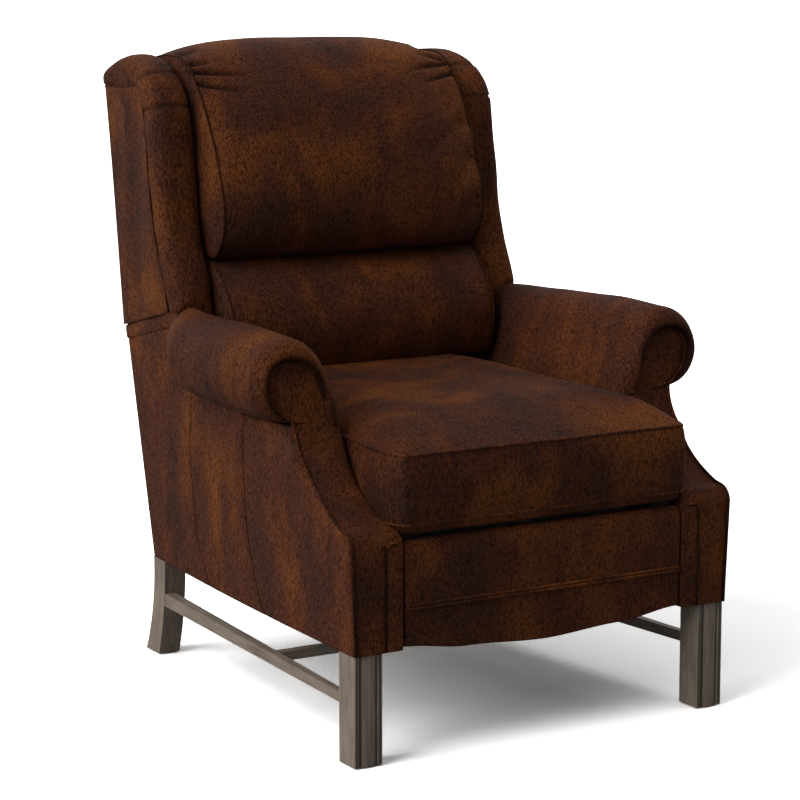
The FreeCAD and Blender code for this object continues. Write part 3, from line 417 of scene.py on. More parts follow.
def leather(name, shift=(0, 0, 0), flow=(1, 1, 0.7), tone=1.0):
    """Pull-up leather, drum dyed and embossed with a pebble grain: dark creases, warm worn patches of 60 to
    150 mm and a soft wax gloss. The grain is drawn at about twice its real size, because a finer one would
    not show."""
    colours = bpy.context.scene.recliner_colours
    made, tree, shader, place = shell(f"pull_up_leather_{name}")
    drawn = add(tree, "ShaderNodeMapping", {"Vector": place, "Location": shift, "Scale": flow}).outputs["Vector"]
    patches = add(tree, "ShaderNodeTexNoise", {
        "Vector": drawn, "Scale": 1 / (130 * MM), "Detail": 2.5, "Distortion": 0.5}).outputs["Fac"]
    clouds = add(tree, "ShaderNodeTexNoise", {
        "Vector": drawn, "Scale": 1 / (38 * MM), "Detail": 4.0, "Roughness": 0.6}).outputs["Fac"]
    both = add(tree, "ShaderNodeMath", {0: clouds, 1: 0.35, 2: patches}, operation="MULTIPLY_ADD").outputs[0]
    hide = add(tree, "ShaderNodeValToRGB", {"Fac": both}, stops=[
        (0.48, colours.dark), (0.65, colours.middle), (0.80, colours.warm), (0.97, colours.light)]).outputs["Color"]
    tall = add(tree, "ShaderNodeMapping", {"Vector": place, "Scale": (1, 1, 0.45)}).outputs["Vector"]
    wrinkles = add(tree, "ShaderNodeTexNoise", {
        "Vector": tall, "Scale": 1 / (4.8 * MM), "Detail": 2.0, "Roughness": 0.55, "Distortion": 0.6}).outputs["Fac"]
    off = add(tree, "ShaderNodeMath", {0: wrinkles, 1: 0.5}, operation="SUBTRACT").outputs[0]
    off = add(tree, "ShaderNodeMath", {0: off}, operation="ABSOLUTE").outputs[0]
    crease = add(tree, "ShaderNodeValToRGB", {"Fac": off}, stops=[(0.0, 0.62), (0.05, 1.0)]).outputs["Color"]
    pebble = add(tree, "ShaderNodeTexVoronoi", {
        "Vector": tall, "Scale": 1 / (3.4 * MM), "Randomness": 0.9}).outputs["Distance"]
    depth = add(tree, "ShaderNodeMath", {0: pebble, 1: -1.05, 2: crease}, operation="MULTIPLY_ADD").outputs[0]
    shade = add(tree, "ShaderNodeValToRGB", {"Fac": depth}, stops=[
        (0.05, 0.45 * tone), (0.4, tone), (0.9, 1.6 * tone)]).outputs["Color"]
    worn = add(tree, "ShaderNodeMix", {"Factor": 1.0, 6: hide, 7: shade}, data_type="RGBA",
               blend_type="MULTIPLY").outputs[2]
    # Painted shade: the folds attribute darkens the colour in folds, seams and the hollow round each arm's disc.
    folds = add(tree, "ShaderNodeAttribute", attribute_name="folds").outputs["Fac"]
    painted_fold_shade = add(tree, "ShaderNodeMath", {0: folds, 1: -0.9, 2: 1.0}, operation="MULTIPLY_ADD").outputs[0]
    colour = add(tree, "ShaderNodeMix", {"Factor": 1.0, 6: worn, 7: painted_fold_shade}, data_type="RGBA",
                 blend_type="MULTIPLY").outputs[2]
    gloss = add(tree, "ShaderNodeMapRange", {"Value": depth, "To Min": 0.82, "To Max": 0.56}).outputs[0]
    bump = add(tree, "ShaderNodeBump", {"Height": depth, "Strength": 0.8, "Distance": 1.0 * MM}).outputs[0]
    fill_in(tree, shader, {"Base Color": colour, "Roughness": gloss, "Normal": bump, "IOR": 1.45,
                           "Specular IOR Level": 0.11, "Specular Tint": (0.8, 0.72, 0.66, 1)})
    return made


# Dark leather for the cords along the seams: the low tone paints the shade in the seam lines.
def seam_shade_leather(name, tone):
    return leather(name, shift=(0.2, 0.1, 0.1), tone=tone)


def cord_leather(name, tone):
    return leather(name, shift=(0.1, 0.5, 0.2), tone=tone)


# The middle of a front leg, and half its width
LEG_MIDDLE, LEG_HALF = 324.0, 24.0


def oak(name, along, light="#857769", dark="#62574f", reeded=False):
    """Oak, sawn, with a grey stain: open grain streaks along the piece under a matt finish. On a reeded leg the front's
    grooves are painted darker, as shade."""
    made, tree, shader, place = shell(name)
    grain = [1 / (3.2 * MM)] * 3
    grain[along] = 1 / (70 * MM)
    lines = add(tree, "ShaderNodeMapping", {"Vector": place, "Scale": grain}).outputs["Vector"]
    streak = add(tree, "ShaderNodeTexNoise", {
        "Vector": lines, "Scale": 1.0, "Detail": 5.0, "Roughness": 0.6, "Distortion": 0.4}).outputs["Fac"]
    broad = add(tree, "ShaderNodeTexNoise", {"Vector": place, "Scale": 1 / (60 * MM), "Detail": 2.0}).outputs["Fac"]
    both = add(tree, "ShaderNodeMath", {0: broad, 1: 0.35, 2: streak}, operation="MULTIPLY_ADD").outputs[0]
    colour = add(tree, "ShaderNodeValToRGB", {"Fac": both}, stops=[
        (0.45, dark), (0.72, light), (0.92, "#8f8276")]).outputs["Color"]
    if reeded:
        axes = add(tree, "ShaderNodeSeparateXYZ", {"Vector": place}).outputs
        out = add(tree, "ShaderNodeMath", {0: axes["X"]}, operation="ABSOLUTE").outputs[0]
        out = add(tree, "ShaderNodeMath", {0: out, 1: LEG_MIDDLE * MM}, operation="SUBTRACT").outputs[0]
        out = add(tree, "ShaderNodeMath", {0: out}, operation="ABSOLUTE").outputs[0]
        out = add(tree, "ShaderNodeMath", {0: out, 1: LEG_HALF * MM}, operation="DIVIDE").outputs[0]
        # Painted shade: the grooves between the reeds on the leg's front are darkened.
        grooves = add(tree, "ShaderNodeValToRGB", {"Fac": out}, stops=[
            (0.0, 0.92), (0.49, 0.88), (0.52, 0.1), (0.64, 0.13), (0.67, 0.9), (0.77, 0.9), (0.79, 0.15),
            (0.90, 0.2), (0.93, 0.92)]).outputs["Color"]
        front = add(tree, "ShaderNodeMath", {0: axes["Y"], 1: (LEG_PLANE + 3) * MM}, operation="LESS_THAN").outputs[0]
        colour = add(tree, "ShaderNodeMix", {"Factor": front, 6: colour, 7: grooves}, data_type="RGBA",
                     blend_type="MULTIPLY").outputs[2]
    bump = add(tree, "ShaderNodeBump", {"Height": streak, "Strength": 0.35, "Distance": 0.4 * MM}).outputs[0]
    fill_in(tree, shader, {"Base Color": colour, "Normal": bump, "Roughness": 0.55, "Specular IOR Level": 0.35})
    return made


def steel(name, colour, dull, metallic, roughness):
    """Pressed steel or moulded nylon: its finish is slightly cloudy, with fine handling marks."""
    made, tree, shader, place = shell(name)
    cloud = add(tree, "ShaderNodeTexNoise", {"Vector": place, "Scale": 1 / (8 * MM), "Detail": 4.0}).outputs["Fac"]
    colours = add(tree, "ShaderNodeValToRGB", {"Fac": cloud}, stops=[(0.3, dull), (0.7, colour)]).outputs["Color"]
    gloss = add(tree, "ShaderNodeMapRange", {
        "Value": cloud, "To Min": roughness + 0.12, "To Max": roughness - 0.1}).outputs[0]
    bump = add(tree, "ShaderNodeBump", {"Height": cloud, "Strength": 0.15, "Distance": 0.2 * MM}).outputs[0]
    fill_in(tree, shader, {"Base Color": colours, "Roughness": gloss, "Normal": bump, "Metallic": metallic})
    return made


def woven(name, colour, dark, pitch):
    """Plain woven cloth: two crossing sets of threads, drawn at the pitch given in millimetres."""
    made, tree, shader, place = shell(name)
    warp, weft = (add(tree, "ShaderNodeTexWave", {"Vector": place, "Scale": 0.314 / (pitch * MM), "Distortion": 0.3},
                      bands_direction=axis).outputs["Fac"] for axis in ("X", "DIAGONAL"))
    cross = add(tree, "ShaderNodeMath", {0: warp, 1: weft}, operation="MULTIPLY").outputs[0]
    colours = add(tree, "ShaderNodeValToRGB", {"Fac": cross}, stops=[(0.1, dark), (0.7, colour)]).outputs["Color"]
    bump = add(tree, "ShaderNodeBump", {"Height": cross, "Strength": 0.5, "Distance": 0.4 * MM}).outputs[0]
    fill_in(tree, shader, {"Base Color": colours, "Normal": bump, "Roughness": 0.85})
    return made


# Sizes and colours that a user would change
class ReclinerSizes(bpy.types.PropertyGroup):
    piping: bpy.props.FloatProperty(
        name="Piping", description="Radius of the cord sewn into the cushion's seams", default=2.9 * MM,
        min=0.001, max=0.006, unit="LENGTH", subtype="DISTANCE")
    seam: bpy.props.FloatProperty(
        name="Seam", description="Radius of the narrow seams", default=1.5 * MM,
        min=0.0005, max=0.004, unit="LENGTH", subtype="DISTANCE")
    pressure: bpy.props.FloatProperty(
        name="Filling", description="Pressure that fills the cushions", default=4.0, min=0.0, max=12.0)
    pleat: bpy.props.FloatProperty(
        name="Pleat depth", description="Depth of the pleats at the head pillow's corners", default=7.5 * MM,
        min=0.0, max=0.012, unit="LENGTH", subtype="DISTANCE")


class ReclinerColours(bpy.types.PropertyGroup):
    dark: bpy.props.StringProperty(name="Dark leather", description="Darkest patches, sRGB hex", default="#341e16")
    middle: bpy.props.StringProperty(name="Leather", description="Main colour, sRGB hex", default="#472517")
    warm: bpy.props.StringProperty(name="Worn leather", description="Warm worn patches, sRGB hex", default="#5d3318")
    light: bpy.props.StringProperty(name="Rubbed leather", description="Most worn spots, sRGB hex", default="#6c3c1c")


def sizes():
    """The sizes that the user set."""
    return bpy.context.scene.recliner_sizes


# Stage: each lamp's name, direction, strength and spread in degrees, then the camera's turn and tilt in degrees
# and its place in metres
LAMPS = (("key", (-0.86, -0.05, 0.50), 2.45, 50), ("top", (0.1, 0.1, 1.0), 0.9, 80))
CAMERA_TURN, CAMERA_TILT, CAMERA_PLACE = -31.29, 9.469, (-2.3623, -3.9126, 1.2351)
SENSOR = 36.0
FOCAL_SHARE = 2729.64 / 800                        # focal length as a share of the picture's width


class RECLINER_OT_stage(bpy.types.Operator):
    """Floor, light and the photograph's camera"""
    bl_idname = "recliner.stage"
    bl_label = "Stage"

    def execute(self, context):
        scene = context.scene
        bpy.ops.object.select_all(action="DESELECT")
        bpy.ops.mesh.primitive_circle_add(vertices=96, radius=300.0, fill_type="NGON", location=(0, 0, -0.0005))
        floor = context.active_object
        floor.name = "floor"
        made = bpy.data.materials.new("matt_studio_floor")
        made.use_nodes = True
        tree = made.node_tree
        tree.nodes.clear()
        seen = add(tree, "ShaderNodeLightPath").outputs["Is Camera Ray"]
        pale = add(tree, "ShaderNodeMapRange", {"Value": seen, "To Min": 0.4, "To Max": 2.5}).outputs[0]
        rough = add(tree, "ShaderNodeBsdfDiffuse", {"Color": pale}).outputs[0]
        add(tree, "ShaderNodeOutputMaterial", {"Surface": rough})
        floor.data.materials.append(made)

        scene.world = bpy.data.worlds.new("studio")
        scene.world.use_nodes = True
        tree = scene.world.node_tree
        path = add(tree, "ShaderNodeLightPath").outputs
        seen = add(tree, "ShaderNodeMath", {0: path["Is Camera Ray"], 1: path["Is Glossy Ray"]}, operation="ADD")
        seen = add(tree, "ShaderNodeMath", {0: seen.outputs[0], 1: path["Is Transmission Ray"]}, operation="ADD")
        level = add(tree, "ShaderNodeMapRange", {"Value": seen.outputs[0], "To Min": 0.1, "To Max": 1.0}).outputs[0]
        fill_in(tree, tree.nodes["Background"], {"Color": (1, 1, 1, 1), "Strength": level})

        for name, way, strength, spread in LAMPS:
            lamp = bpy.data.lights.new(name, "SUN")
            lamp.energy, lamp.angle = strength, math.radians(spread)
            holder = bpy.data.objects.new(name, lamp)
            holder.rotation_mode = "QUATERNION"
            holder.rotation_quaternion = Vector(way).to_track_quat("Z", "Y")
            scene.collection.objects.link(holder)
            holder.visible_glossy = name == "key"

        lens = bpy.data.cameras.new("camera")
        lens.sensor_width = SENSOR
        lens.lens = SENSOR * FOCAL_SHARE
        lens.clip_end = 1000.0
        camera = bpy.data.objects.new("camera", lens)
        turn, tilt = math.radians(CAMERA_TURN), math.radians(CAMERA_TILT)
        backwards = Vector((math.sin(turn) * math.cos(tilt), -math.cos(turn) * math.cos(tilt), math.sin(tilt)))
        camera.location = CAMERA_PLACE
        camera.rotation_mode = "QUATERNION"
        camera.rotation_quaternion = (-backwards).to_track_quat("-Z", "Y")
        scene.collection.objects.link(camera)
        scene.camera = camera
        scene.view_settings.view_transform = "Standard"
        return {"FINISHED"}


# Seat cushion
CUSHION_FRONT, CUSHION_REAR = -3.0, 742.0
CUSHION_SEAM, CUSHION_CROWN, CUSHION_LOW, CUSHION_BED = 476.0, 521.0, 369.0, 352.5
CUSHION_CELLS = (44, 60, 10)                       # across, along and up the band


def cushion_half(v):
    """Half width: a little fuller in front of the arms, drawn in at the rear."""
    return INNER_ARM - 3.5 + value([(0, 2), (0.04, 10), (0.1, 8), (0.24, -2), (0.9, -3), (1, -14)], v)


def gather(t, amount=0.8):
    """Moves even steps from 0 to 1 towards both ends, for small cells near the edges."""
    return t - amount * math.sin(2 * math.pi * t) / (2 * math.pi)


def cushion_plan(u, v):
    """x and y of a point of the top or underside, with s and t from -1 to 1 across and along it."""
    u, v = gather(u), gather(v)
    s, t = 2 * u - 1, 2 * v - 1
    x = cushion_half(v) * s * math.sqrt(1 - 0.025 * t ** 60)
    half = (CUSHION_REAR - CUSHION_FRONT) / 2
    y = (CUSHION_REAR + CUSHION_FRONT) / 2 + half * t * math.sqrt(1 - 0.014 * s ** 50)
    return x, y, s, t, v


def cushion_top(u, v):
    """The crowned top, with lower sides. Its front rolls down to the seam."""
    x, y, s, t, v = cushion_plan(u, v)
    rise = CUSHION_CROWN - CUSHION_SEAM
    side = value([(0, 0), (0.25, 0.04), (0.5, 0.45), (0.65, 0.62), (0.93, 0.56), (1, 0.4)], v) * rise
    crown = value([(0, 0.86), (0.35, 0.92), (0.65, 1), (0.93, 0.86), (1, 0.5)], v) * rise
    crown *= 1 - max(0.0, 1 - v / 0.16) ** 2.4
    return x, y, CUSHION_SEAM + side + (crown - side) * (1 - abs(s) ** 16)


def cushion_under(u, v):
    """The underside: flat on its bed, and drawn up to the lower seam over the last 14 mm."""
    x, y, s, t, v = cushion_plan(u, v)
    edge = min((1 - abs(s)) * 262, (1 - abs(t)) * 372)
    return x, y, CUSHION_BED + (CUSHION_LOW - CUSHION_BED) * max(0.0, 1 - edge / 14) ** 2.2


class RECLINER_OT_seat(bpy.types.Operator):
    """Boxed seat cushion with a crowned top and piping in its two seams"""
    bl_idname = "recliner.seat"
    bl_label = "Seat cushion"

    def execute(self, context):
        cover = leather("seat", shift=(0.31, 0.12, 0.4), tone=0.83)
        cords = cord_leather("piping", 0.92)

        def swell(u, v):
            return 7.0 if 0 < u < 1 else value([(0.1, 7.0), (0.24, 3.0)], gather(v))
        cushion, seams = boxed("seat_cushion_cover", cushion_top, cushion_under, CUSHION_CELLS, swell)
        bed = [[Vector(p) for p in row] for row in net(cushion_under, *CUSHION_CELLS[:2])]
        inflate(cushion, seams + bed, cap=9)
        refine(cushion)
        placed(cushion, "seat", cover, "seat_cushion", fill=0.7)
        for name, seam in zip(("top", "bottom"), seams):
            cord = tube(f"seat_cushion_{name}_piping", seam, sizes().piping / MM, (0, 0, 1), loop=True)
            placed(refine(cord), "seat", cords)
        return {"FINISHED"}


# Back pillows
HEAD_MIDDLE = ((622, 712), (584, 724), (566, 752), (562, 790), (566, 840), (582, 890), (606, 945), (640, 995),
               (680, 1036), (728, 1064), (790, 1075), (850, 1064), (893, 1030))
HEAD_SIDE = ((626, 712), (604, 728), (587, 757), (583, 800), (595, 850), (612, 895), (634, 937), (655, 973),
             (684, 1009), (702, 1030), (726, 1043), (760, 1048), (800, 1048), (850, 1038), (893, 1006))
LUMBAR_MIDDLE = ((553, 525), (540, 560), (537, 600), (549, 645), (577, 682), (620, 708), (660, 710))
LUMBAR_SIDE = ((564, 525), (552, 560), (549, 605), (563, 645), (590, 680), (626, 707), (660, 710))
PILLOW_DEPTH = 82.0                                # from the outside back to the pillows' rear panels
HEAD_REAR = 860.0                                  # behind this y the head pillow has no pleats or creases
# Pleats at the head pillow's upper corners: the way they face, then x and z of where each starts and fades out
HEAD_PLEATS = (
    ((-0.45, -0.892, 0.04), ((-276, 1051, -228, 1059), (-257, 1034, -203, 1039), (-252, 1022, -134, 1016),
                             (-235, 1002, -136, 987))),
    ((-0.53, -0.847, 0.04), ((262, 1046, 188, 1061), (270, 1031, 196, 1048), (270, 1026, 192, 1017),
                             (281, 1008, 218, 994))))
PLEAT_Y, PLEAT_WIDTH = 720.0, 3.4
# Soft tucks down the head pillow's left side: from, to, and how wide
HEAD_TUCKS = (((257, 640, 930), (150, 590, 880), 14), ((257, 612, 870), (170, 572, 800), 16),
              ((257, 590, 800), (190, 566, 740), 14))


def pillow_panels(middle, side, half, bottom, top):
    """The front panel between two outlines, and the flat panel behind it."""
    count = 49
    full, edge = through(middle, count), through(side, count)

    def blend(u, v):
        s = abs(2 * u - 1)
        k = v * (count - 1)
        i = min(int(k), count - 2)
        a, b = full[i].lerp(full[i + 1], k - i), edge[i].lerp(edge[i + 1], k - i)
        return b.lerp(a, (1 - s ** 3.2) ** 0.85)

    def face(u, v):
        return (2 * u - 1) * half, *blend(u, v)

    def back(u, v):
        z = bottom + (top - bottom) * v
        y, z = blend(u, v) if v == 1.0 else (rear_y(z) - PILLOW_DEPTH, z)
        return (2 * u - 1) * half, y, z
    return face, back


class RECLINER_OT_pillows(bpy.types.Operator):
    """Head and lumbar pillows, with gusseted sides, stitched seams and gathered upper corners"""
    bl_idname = "recliner.pillows"
    bl_label = "Back pillows"

    def execute(self, context):
        cover = leather("pillows", shift=(0.05, 0.0, 0.13), tone=1.05)
        low_cover = leather("lumbar", shift=(0.05, 0.0, 0.13), tone=1.25)
        seam_shade = seam_shade_leather("seams", 0.4)
        cells, low_cells = (44, 48, 8), (44, 24, 8)
        head, seams = boxed("head_pillow_cover", *pillow_panels(HEAD_MIDDLE, HEAD_SIDE, half=257, bottom=712, top=1000),
                            cells, lambda u, v: 5.0 if 0 < v < 1 else 1.5)
        inflate(head, seams, cap=14)
        refine(head, 2)
        depth = sizes().pleat / MM

        def pleated(p):
            facing, pleats = HEAD_PLEATS[p.x > 0]
            if p.z < 940 or abs(p.x) < 80 or p.y > HEAD_REAR:
                return 0.0
            return max(fold(p, (x0, PLEAT_Y, z0), (x1, PLEAT_Y, z1), PLEAT_WIDTH, facing)
                       for x0, z0, x1, z1 in pleats)

        def creased(p, normal):
            if p.y > HEAD_REAR:
                return Vector((0, 0, 0))
            dip = -depth * pleated(p)
            dip -= 0.85 * depth * sum(fold(p, a, b, w, HEAD_PLEATS[1][0]) for a, b, w in HEAD_TUCKS if p.x > 80)
            return normal * (dip + 2.2 * noise.noise(Vector((p.x / 95, p.y / 120, p.z / 80))))
        # Painted shade in the pleats, through the folds attribute.
        mark(head, lambda p: 1.4 * pleated(p) ** 1.3)
        moved(head, creased)
        placed(head, "back", cover, "head_pillow", fill=0.8)

        panels = pillow_panels(LUMBAR_MIDDLE, LUMBAR_SIDE, half=258, bottom=525, top=710)
        lumbar, low_seams = boxed("lumbar_pillow_cover", *panels, low_cells, lambda u, v: 4.0 if 0 < v < 1 else 1.0)
        inflate(lumbar, low_seams, cap=12)
        refine(lumbar, 2)
        moved(lumbar, lambda p, normal: normal * 1.8 * noise.noise(Vector((p.x / 90, p.y / 120, p.z / 70 + 4))))
        placed(lumbar, "back", low_cover, "lumbar_pillow", fill=0.75)

        for name, loop, (nu, nv, _) in (("head", seams[0], cells), ("lumbar", low_seams[0], low_cells)):
            for side, run in (("left", loop[nu:nu + nv + 1]), ("right", (loop + loop[:1])[2 * nu + nv:])):
                placed(tube(f"{name}_pillow_{side}_seam", run, sizes().seam / MM, (1, 0, 0)), "back", seam_shade)
        return {"FINISHED"}


# Wings
WING_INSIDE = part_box("wing_left")[0].x / MM
WING_NOSE = ((592, 640), (605, 680), (623, 722), (640, 774), (649, 836), (657, 890), (664, 940), (669, 963),
             (676, 980), (692, 1003), (712, 1022), (740, 1037), (775, 1047), (817, 1050), (861, 1044), (905, 1031),
             (955, 1010))
# The height of the foot, which rests on the arm roll, at a few distances from the middle
WING_FOOT = ((266, 601), (290, 602), (303, 618), (312, 638), (325, 633), (332, 630.5))
FOOT_HEIGHT = 625.0                                # the foot before it is fitted to the roll
NOSE_DEPTH = 27.0                                  # how far the rolled front edge swells
# The seam between the rolled edge and the flat outside, and the seam under the cap
PANEL_FRONT = ((631, 627.5), (648.5, 672), (667.5, 715), (689, 779.5), (706.5, 863), (725, 954), (739, 979),
               (762, 1001))
PANEL_TOP = ((762, 1001), (793, 996.5), (828, 994), (928, 991))


def wing_outline(inset):
    """Edges of the wing's flat side, that far inside its rolled edge: bottom, top, front and rear."""
    nose = through(WING_NOSE)
    mid = []
    for k, p in enumerate(nose):
        along = (nose[min(k + 1, len(nose) - 1)] - nose[max(k - 1, 0)]).normalized()
        mid.append(p + Vector((along.y, -along.x)) * inset)
    split = min(range(len(mid)), key=lambda k: abs(mid[k].y - 1006 + inset * 0.4) + (mid[k].x > 760) * 500)
    low, high = Vector((619, 626)), mid[-1]
    front, top = [low] + [p for p in mid[:split + 1] if p.y > low.y + 3], mid[split:]
    heel, drop, end = Vector((646.5, 625)), Vector((648, 618)), Vector((850, 612))
    return [low, heel, drop, end], top, front, [end, high]


def outer_wing_x(y):
    return value([(600, 338), (690, 336), (790, 322), (930, 309)], y)


def caps(p):
    """How near p is to one of the two seams that cross the wing's front edge under its cap."""
    lower = math.exp(-((p.z - 970 + 0.2 * (p.y - 668)) / 2.6) ** 2) * clamp((738 - p.y) / 15)
    upper = math.exp(-((p.z - 1024 + 0.33 * (p.y - 716)) / 2.6) ** 2) * clamp((764 - p.y) / 15)
    return max(lower, upper)


def wing_shaped(p, normal):
    """Soft hollows and cap seams. The cap's rear corner is filled, and the foot follows the side and the roll."""
    step = normal * (1.6 * noise.noise(Vector((p.x / 60, p.y / 60, p.z / 75))) - 3.0 * caps(p))
    step.y -= max(0.0, p.y - rear_y(p.z) + 2)
    corner = value([(850, 0.0), (912, 5.6)], p.y) * value([(280, 0.0), (296, 1.0)], abs(p.x))
    step.x += math.copysign(corner * value([(988, 0), (1000, 1), (1014, 1), (1034, 0)], p.z), p.x)
    if p.z < 645:
        step.x -= math.copysign(max(0.0, abs(p.x) - plan_x(p.y, p.z) - 3), p.x)
    drop = (value(WING_FOOT, abs(p.x)) - FOOT_HEIGHT) * value([(640, 1.0), (665, 0.0)], p.y)
    step.z += drop * clamp(1 - (p.z - FOOT_HEIGHT) / 55)
    return step


class RECLINER_OT_wings(bpy.types.Operator):
    """Wings: a padded inside that rolls round the front edge, and a flat panel on the outside"""
    bl_idname = "recliner.wings"
    bl_label = "Wings"

    def execute(self, context):
        cover = leather("wings", shift=(0.4, 0.2, 0.0))
        outside = leather("outside", shift=(0.15, 0.33, 0.22), tone=1.05)
        seam_shade = seam_shade_leather("wing_seams", 0.62)
        nu, nv = 26, 60
        (low, heel, drop, end), *edges = wing_outline(NOSE_DEPTH)
        bottom = even([low, heel], 4) + even([heel, drop], 4)[1:] + even([drop, end], nu - 5)[1:]
        rows = coons(bottom, *(even(run, count) for run, count in zip(edges, (nu + 1, nv + 1, nv + 1))))
        seam_y = [(z, y) for y, z in PANEL_FRONT]
        front = through(PANEL_FRONT, nv + 1)
        rear = even([Vector((rear_y(z) - 6, z)) for z in (581, 991)], nv + 1)
        foot, top = even([front[0], Vector((832, 583.3)), rear[0]], nu + 1), through(PANEL_TOP, nu + 1)
        top[-1] = rear[-1]
        sheet = coons(foot, top, front, rear)
        for side, s in SIDES:
            def inner(u, v):
                p = rows[round(v * nv)][round(u * nu)]
                return s * (WING_INSIDE + 1), p.x, p.y

            def outer(u, v):
                p = rows[round(v * nv)][round(u * nu)]
                ahead = max(clamp((value(seam_y, p.y) - p.x) / 10 + 0.5), clamp((p.y - 994) / 10))
                return s * (outer_wing_x(p.x) - 2 + 4.5 * ahead), p.x, p.y

            def swell(u, v):
                return NOSE_DEPTH if u == 0 or v == 1 else 1.0
            wing, _ = boxed(f"wing_{side}_cover", inner, outer, (nu, nv, 12), swell, square=0.68)
            refine(wing)
            # Painted shade along the two cap seams.
            mark(wing, lambda p: 0.8 * caps(p))
            moved(wing, wing_shaped)
            placed(wing, "back", cover, f"wing_{side}", fill=0.6)

            def outside_at(p, out):
                return s * (outer_wing_x(p.x) + out), p.x, p.y
            flat_rows = [[outside_at(p, 2.5) for p in row] for row in sheet]
            made = panel(f"wing_panel_{side}_cover", flat_rows, (s, 0, 0), 5, 1.2)
            placed(made, "back", outside, f"wing_panel_{side}")
            run = [outside_at(p, 1.6) for p in front + top[1:]]
            placed(tube(f"wing_{side}_seam", run, sizes().seam / MM, (1, 0, 0)), "back", seam_shade)
        return {"FINISHED"}


# Arms
ROLL_SECTION = ((266, 497), (269.5, 520), (275, 543), (283, 560), (291, 580), (305, 608), (330, 632), (361, 640.5),
                (398, 625), (420, 592), (423.5, 565), (413, 533), (390, 514), (361, 508), (330, 506), (300, 499),
                (284, 496), (266, 497))
DISC_SECTION = ((288, 500), (293, 520), (299, 541), (306, 560), (315, 581), (327, 594.6), (348.7, 604), (373, 604.6),
                (392.5, 592), (399.6, 565), (394.6, 546), (379, 524.4), (361.7, 513.5), (335, 508), (312, 504),
                (298, 501), (288, 500))
ROLL_FRONT, ROLL_REAR = 167.0, 645.0
ROLL_HEART = (330, 560)
# Where the roll's outer part starts to draw in, where its rounded end starts, and where it ends
ROLL_DRAW, ROLL_ROUND, ROLL_END = 500, 570, 600
# How far the flat disc lies behind the roll's foremost edge, and how far back the rim round it reaches
DISC_DEPTH, RIM_DEPTH = 14, 25
# The rounded rim: how far out from the disc, and how far behind the foremost edge
ROLL_RIM = ((0.0, 12), (0.03, 6.5), (0.09, 2.6), (0.18, 0.6), (0.28, 0), (0.42, 1), (0.56, 3.2), (0.70, 6.8),
            (0.82, 11.5), (0.92, 17), (1.0, RIM_DEPTH))


def roll_point(p, y):
    """A point of the roll's section at y. It swells a little behind the front, and its outer part is drawn in
    until it closes against the side."""
    heart = Vector(ROLL_HEART)
    around = (p - heart) * value([(190, 1.0), (310, 1.05), (450, 1.01), (500, 1.0)], y)
    q = heart + around
    q.x += (plan_x(y, 571) - plan_x(ROLL_FRONT, 571)) * value([(-66, 0.0), (-20, 1.0)], around.x)
    close = 1 - 0.45 * clamp((y - ROLL_DRAW) / (ROLL_END - ROLL_DRAW)) ** 1.5
    if y > ROLL_ROUND:
        close = 0.36 + (close - 0.36) * math.sqrt(1 - clamp((y - ROLL_ROUND) / (ROLL_END - ROLL_ROUND)) ** 2)
    core = Vector((300, 636))
    q = q.lerp(core + (q - core) * close, value([(285, 0.0), (345, 1.0)], p.x))
    q.x = max(q.x, INNER_ARM + 1)
    return q


class RECLINER_OT_arm_rolls(bpy.types.Operator):
    """Rolled arms: fattest a little behind the front, round at the rear, with a rounded front rim"""
    bl_idname = "recliner.arm_rolls"
    bl_label = "Arm rolls"

    def execute(self, context):
        cover = leather("arms", shift=(0.22, 0.05, 0.31), flow=(0.4, 1, 0.4), tone=0.96)
        count = 72
        full, disc = through(ROLL_SECTION, count + 1), through(DISC_SECTION, count + 1)
        hub = Vector((340, 556))
        steps = [ROLL_FRONT + RIM_DEPTH + 9 * k for k in range(1, 43)]
        steps += [ROLL_ROUND + (ROLL_END - ROLL_ROUND) * math.sin(math.pi / 16 * k) for k in range(9)]
        steps += [612, 628, ROLL_REAR]
        for side, s in SIDES:
            rows = []
            for share in (0.0, 0.35, 0.7):
                rows.append([(s * q.x, ROLL_FRONT + DISC_DEPTH, q.y) for q in (hub.lerp(p, share) for p in disc)])
            for share, back in ROLL_RIM:
                row = []
                for d, p in zip(disc, full):
                    q, inner = d.lerp(p, share), value([(300, 1.0), (330, 0.0)], d.x)
                    plain = RIM_DEPTH * (1 - math.sqrt(max(0.0, 1 - share ** 2)))
                    row.append((s * q.x, ROLL_FRONT + back + (plain - back) * inner, q.y))
                rows.append(row)
            for y in steps:
                rows.append([(s * q.x, y, q.y) for q in (roll_point(p, y) for p in full)])
            rows.append([(s * 300, ROLL_REAR, 600)] * (count + 1))
            roll = refine(closed(grid(f"arm_roll_{side}_cover", rows)))
            moved(roll, lambda p, normal: normal * 1.4 * noise.noise(Vector((p.x / 55, p.y / 70, p.z / 55 + s))))
            # Painted shade in the hollow round the disc, where the rim curves in.
            mark(roll, lambda p: 0.0 if p.y > 187 or abs(p.x) < 300 else
                 0.95 * math.exp(-(near(Vector((abs(p.x), p.z)), disc[8:]) / 9) ** 2))
            placed(roll, "base", cover, f"arm_roll_{side}", fill=0.7)
        return {"FINISHED"}


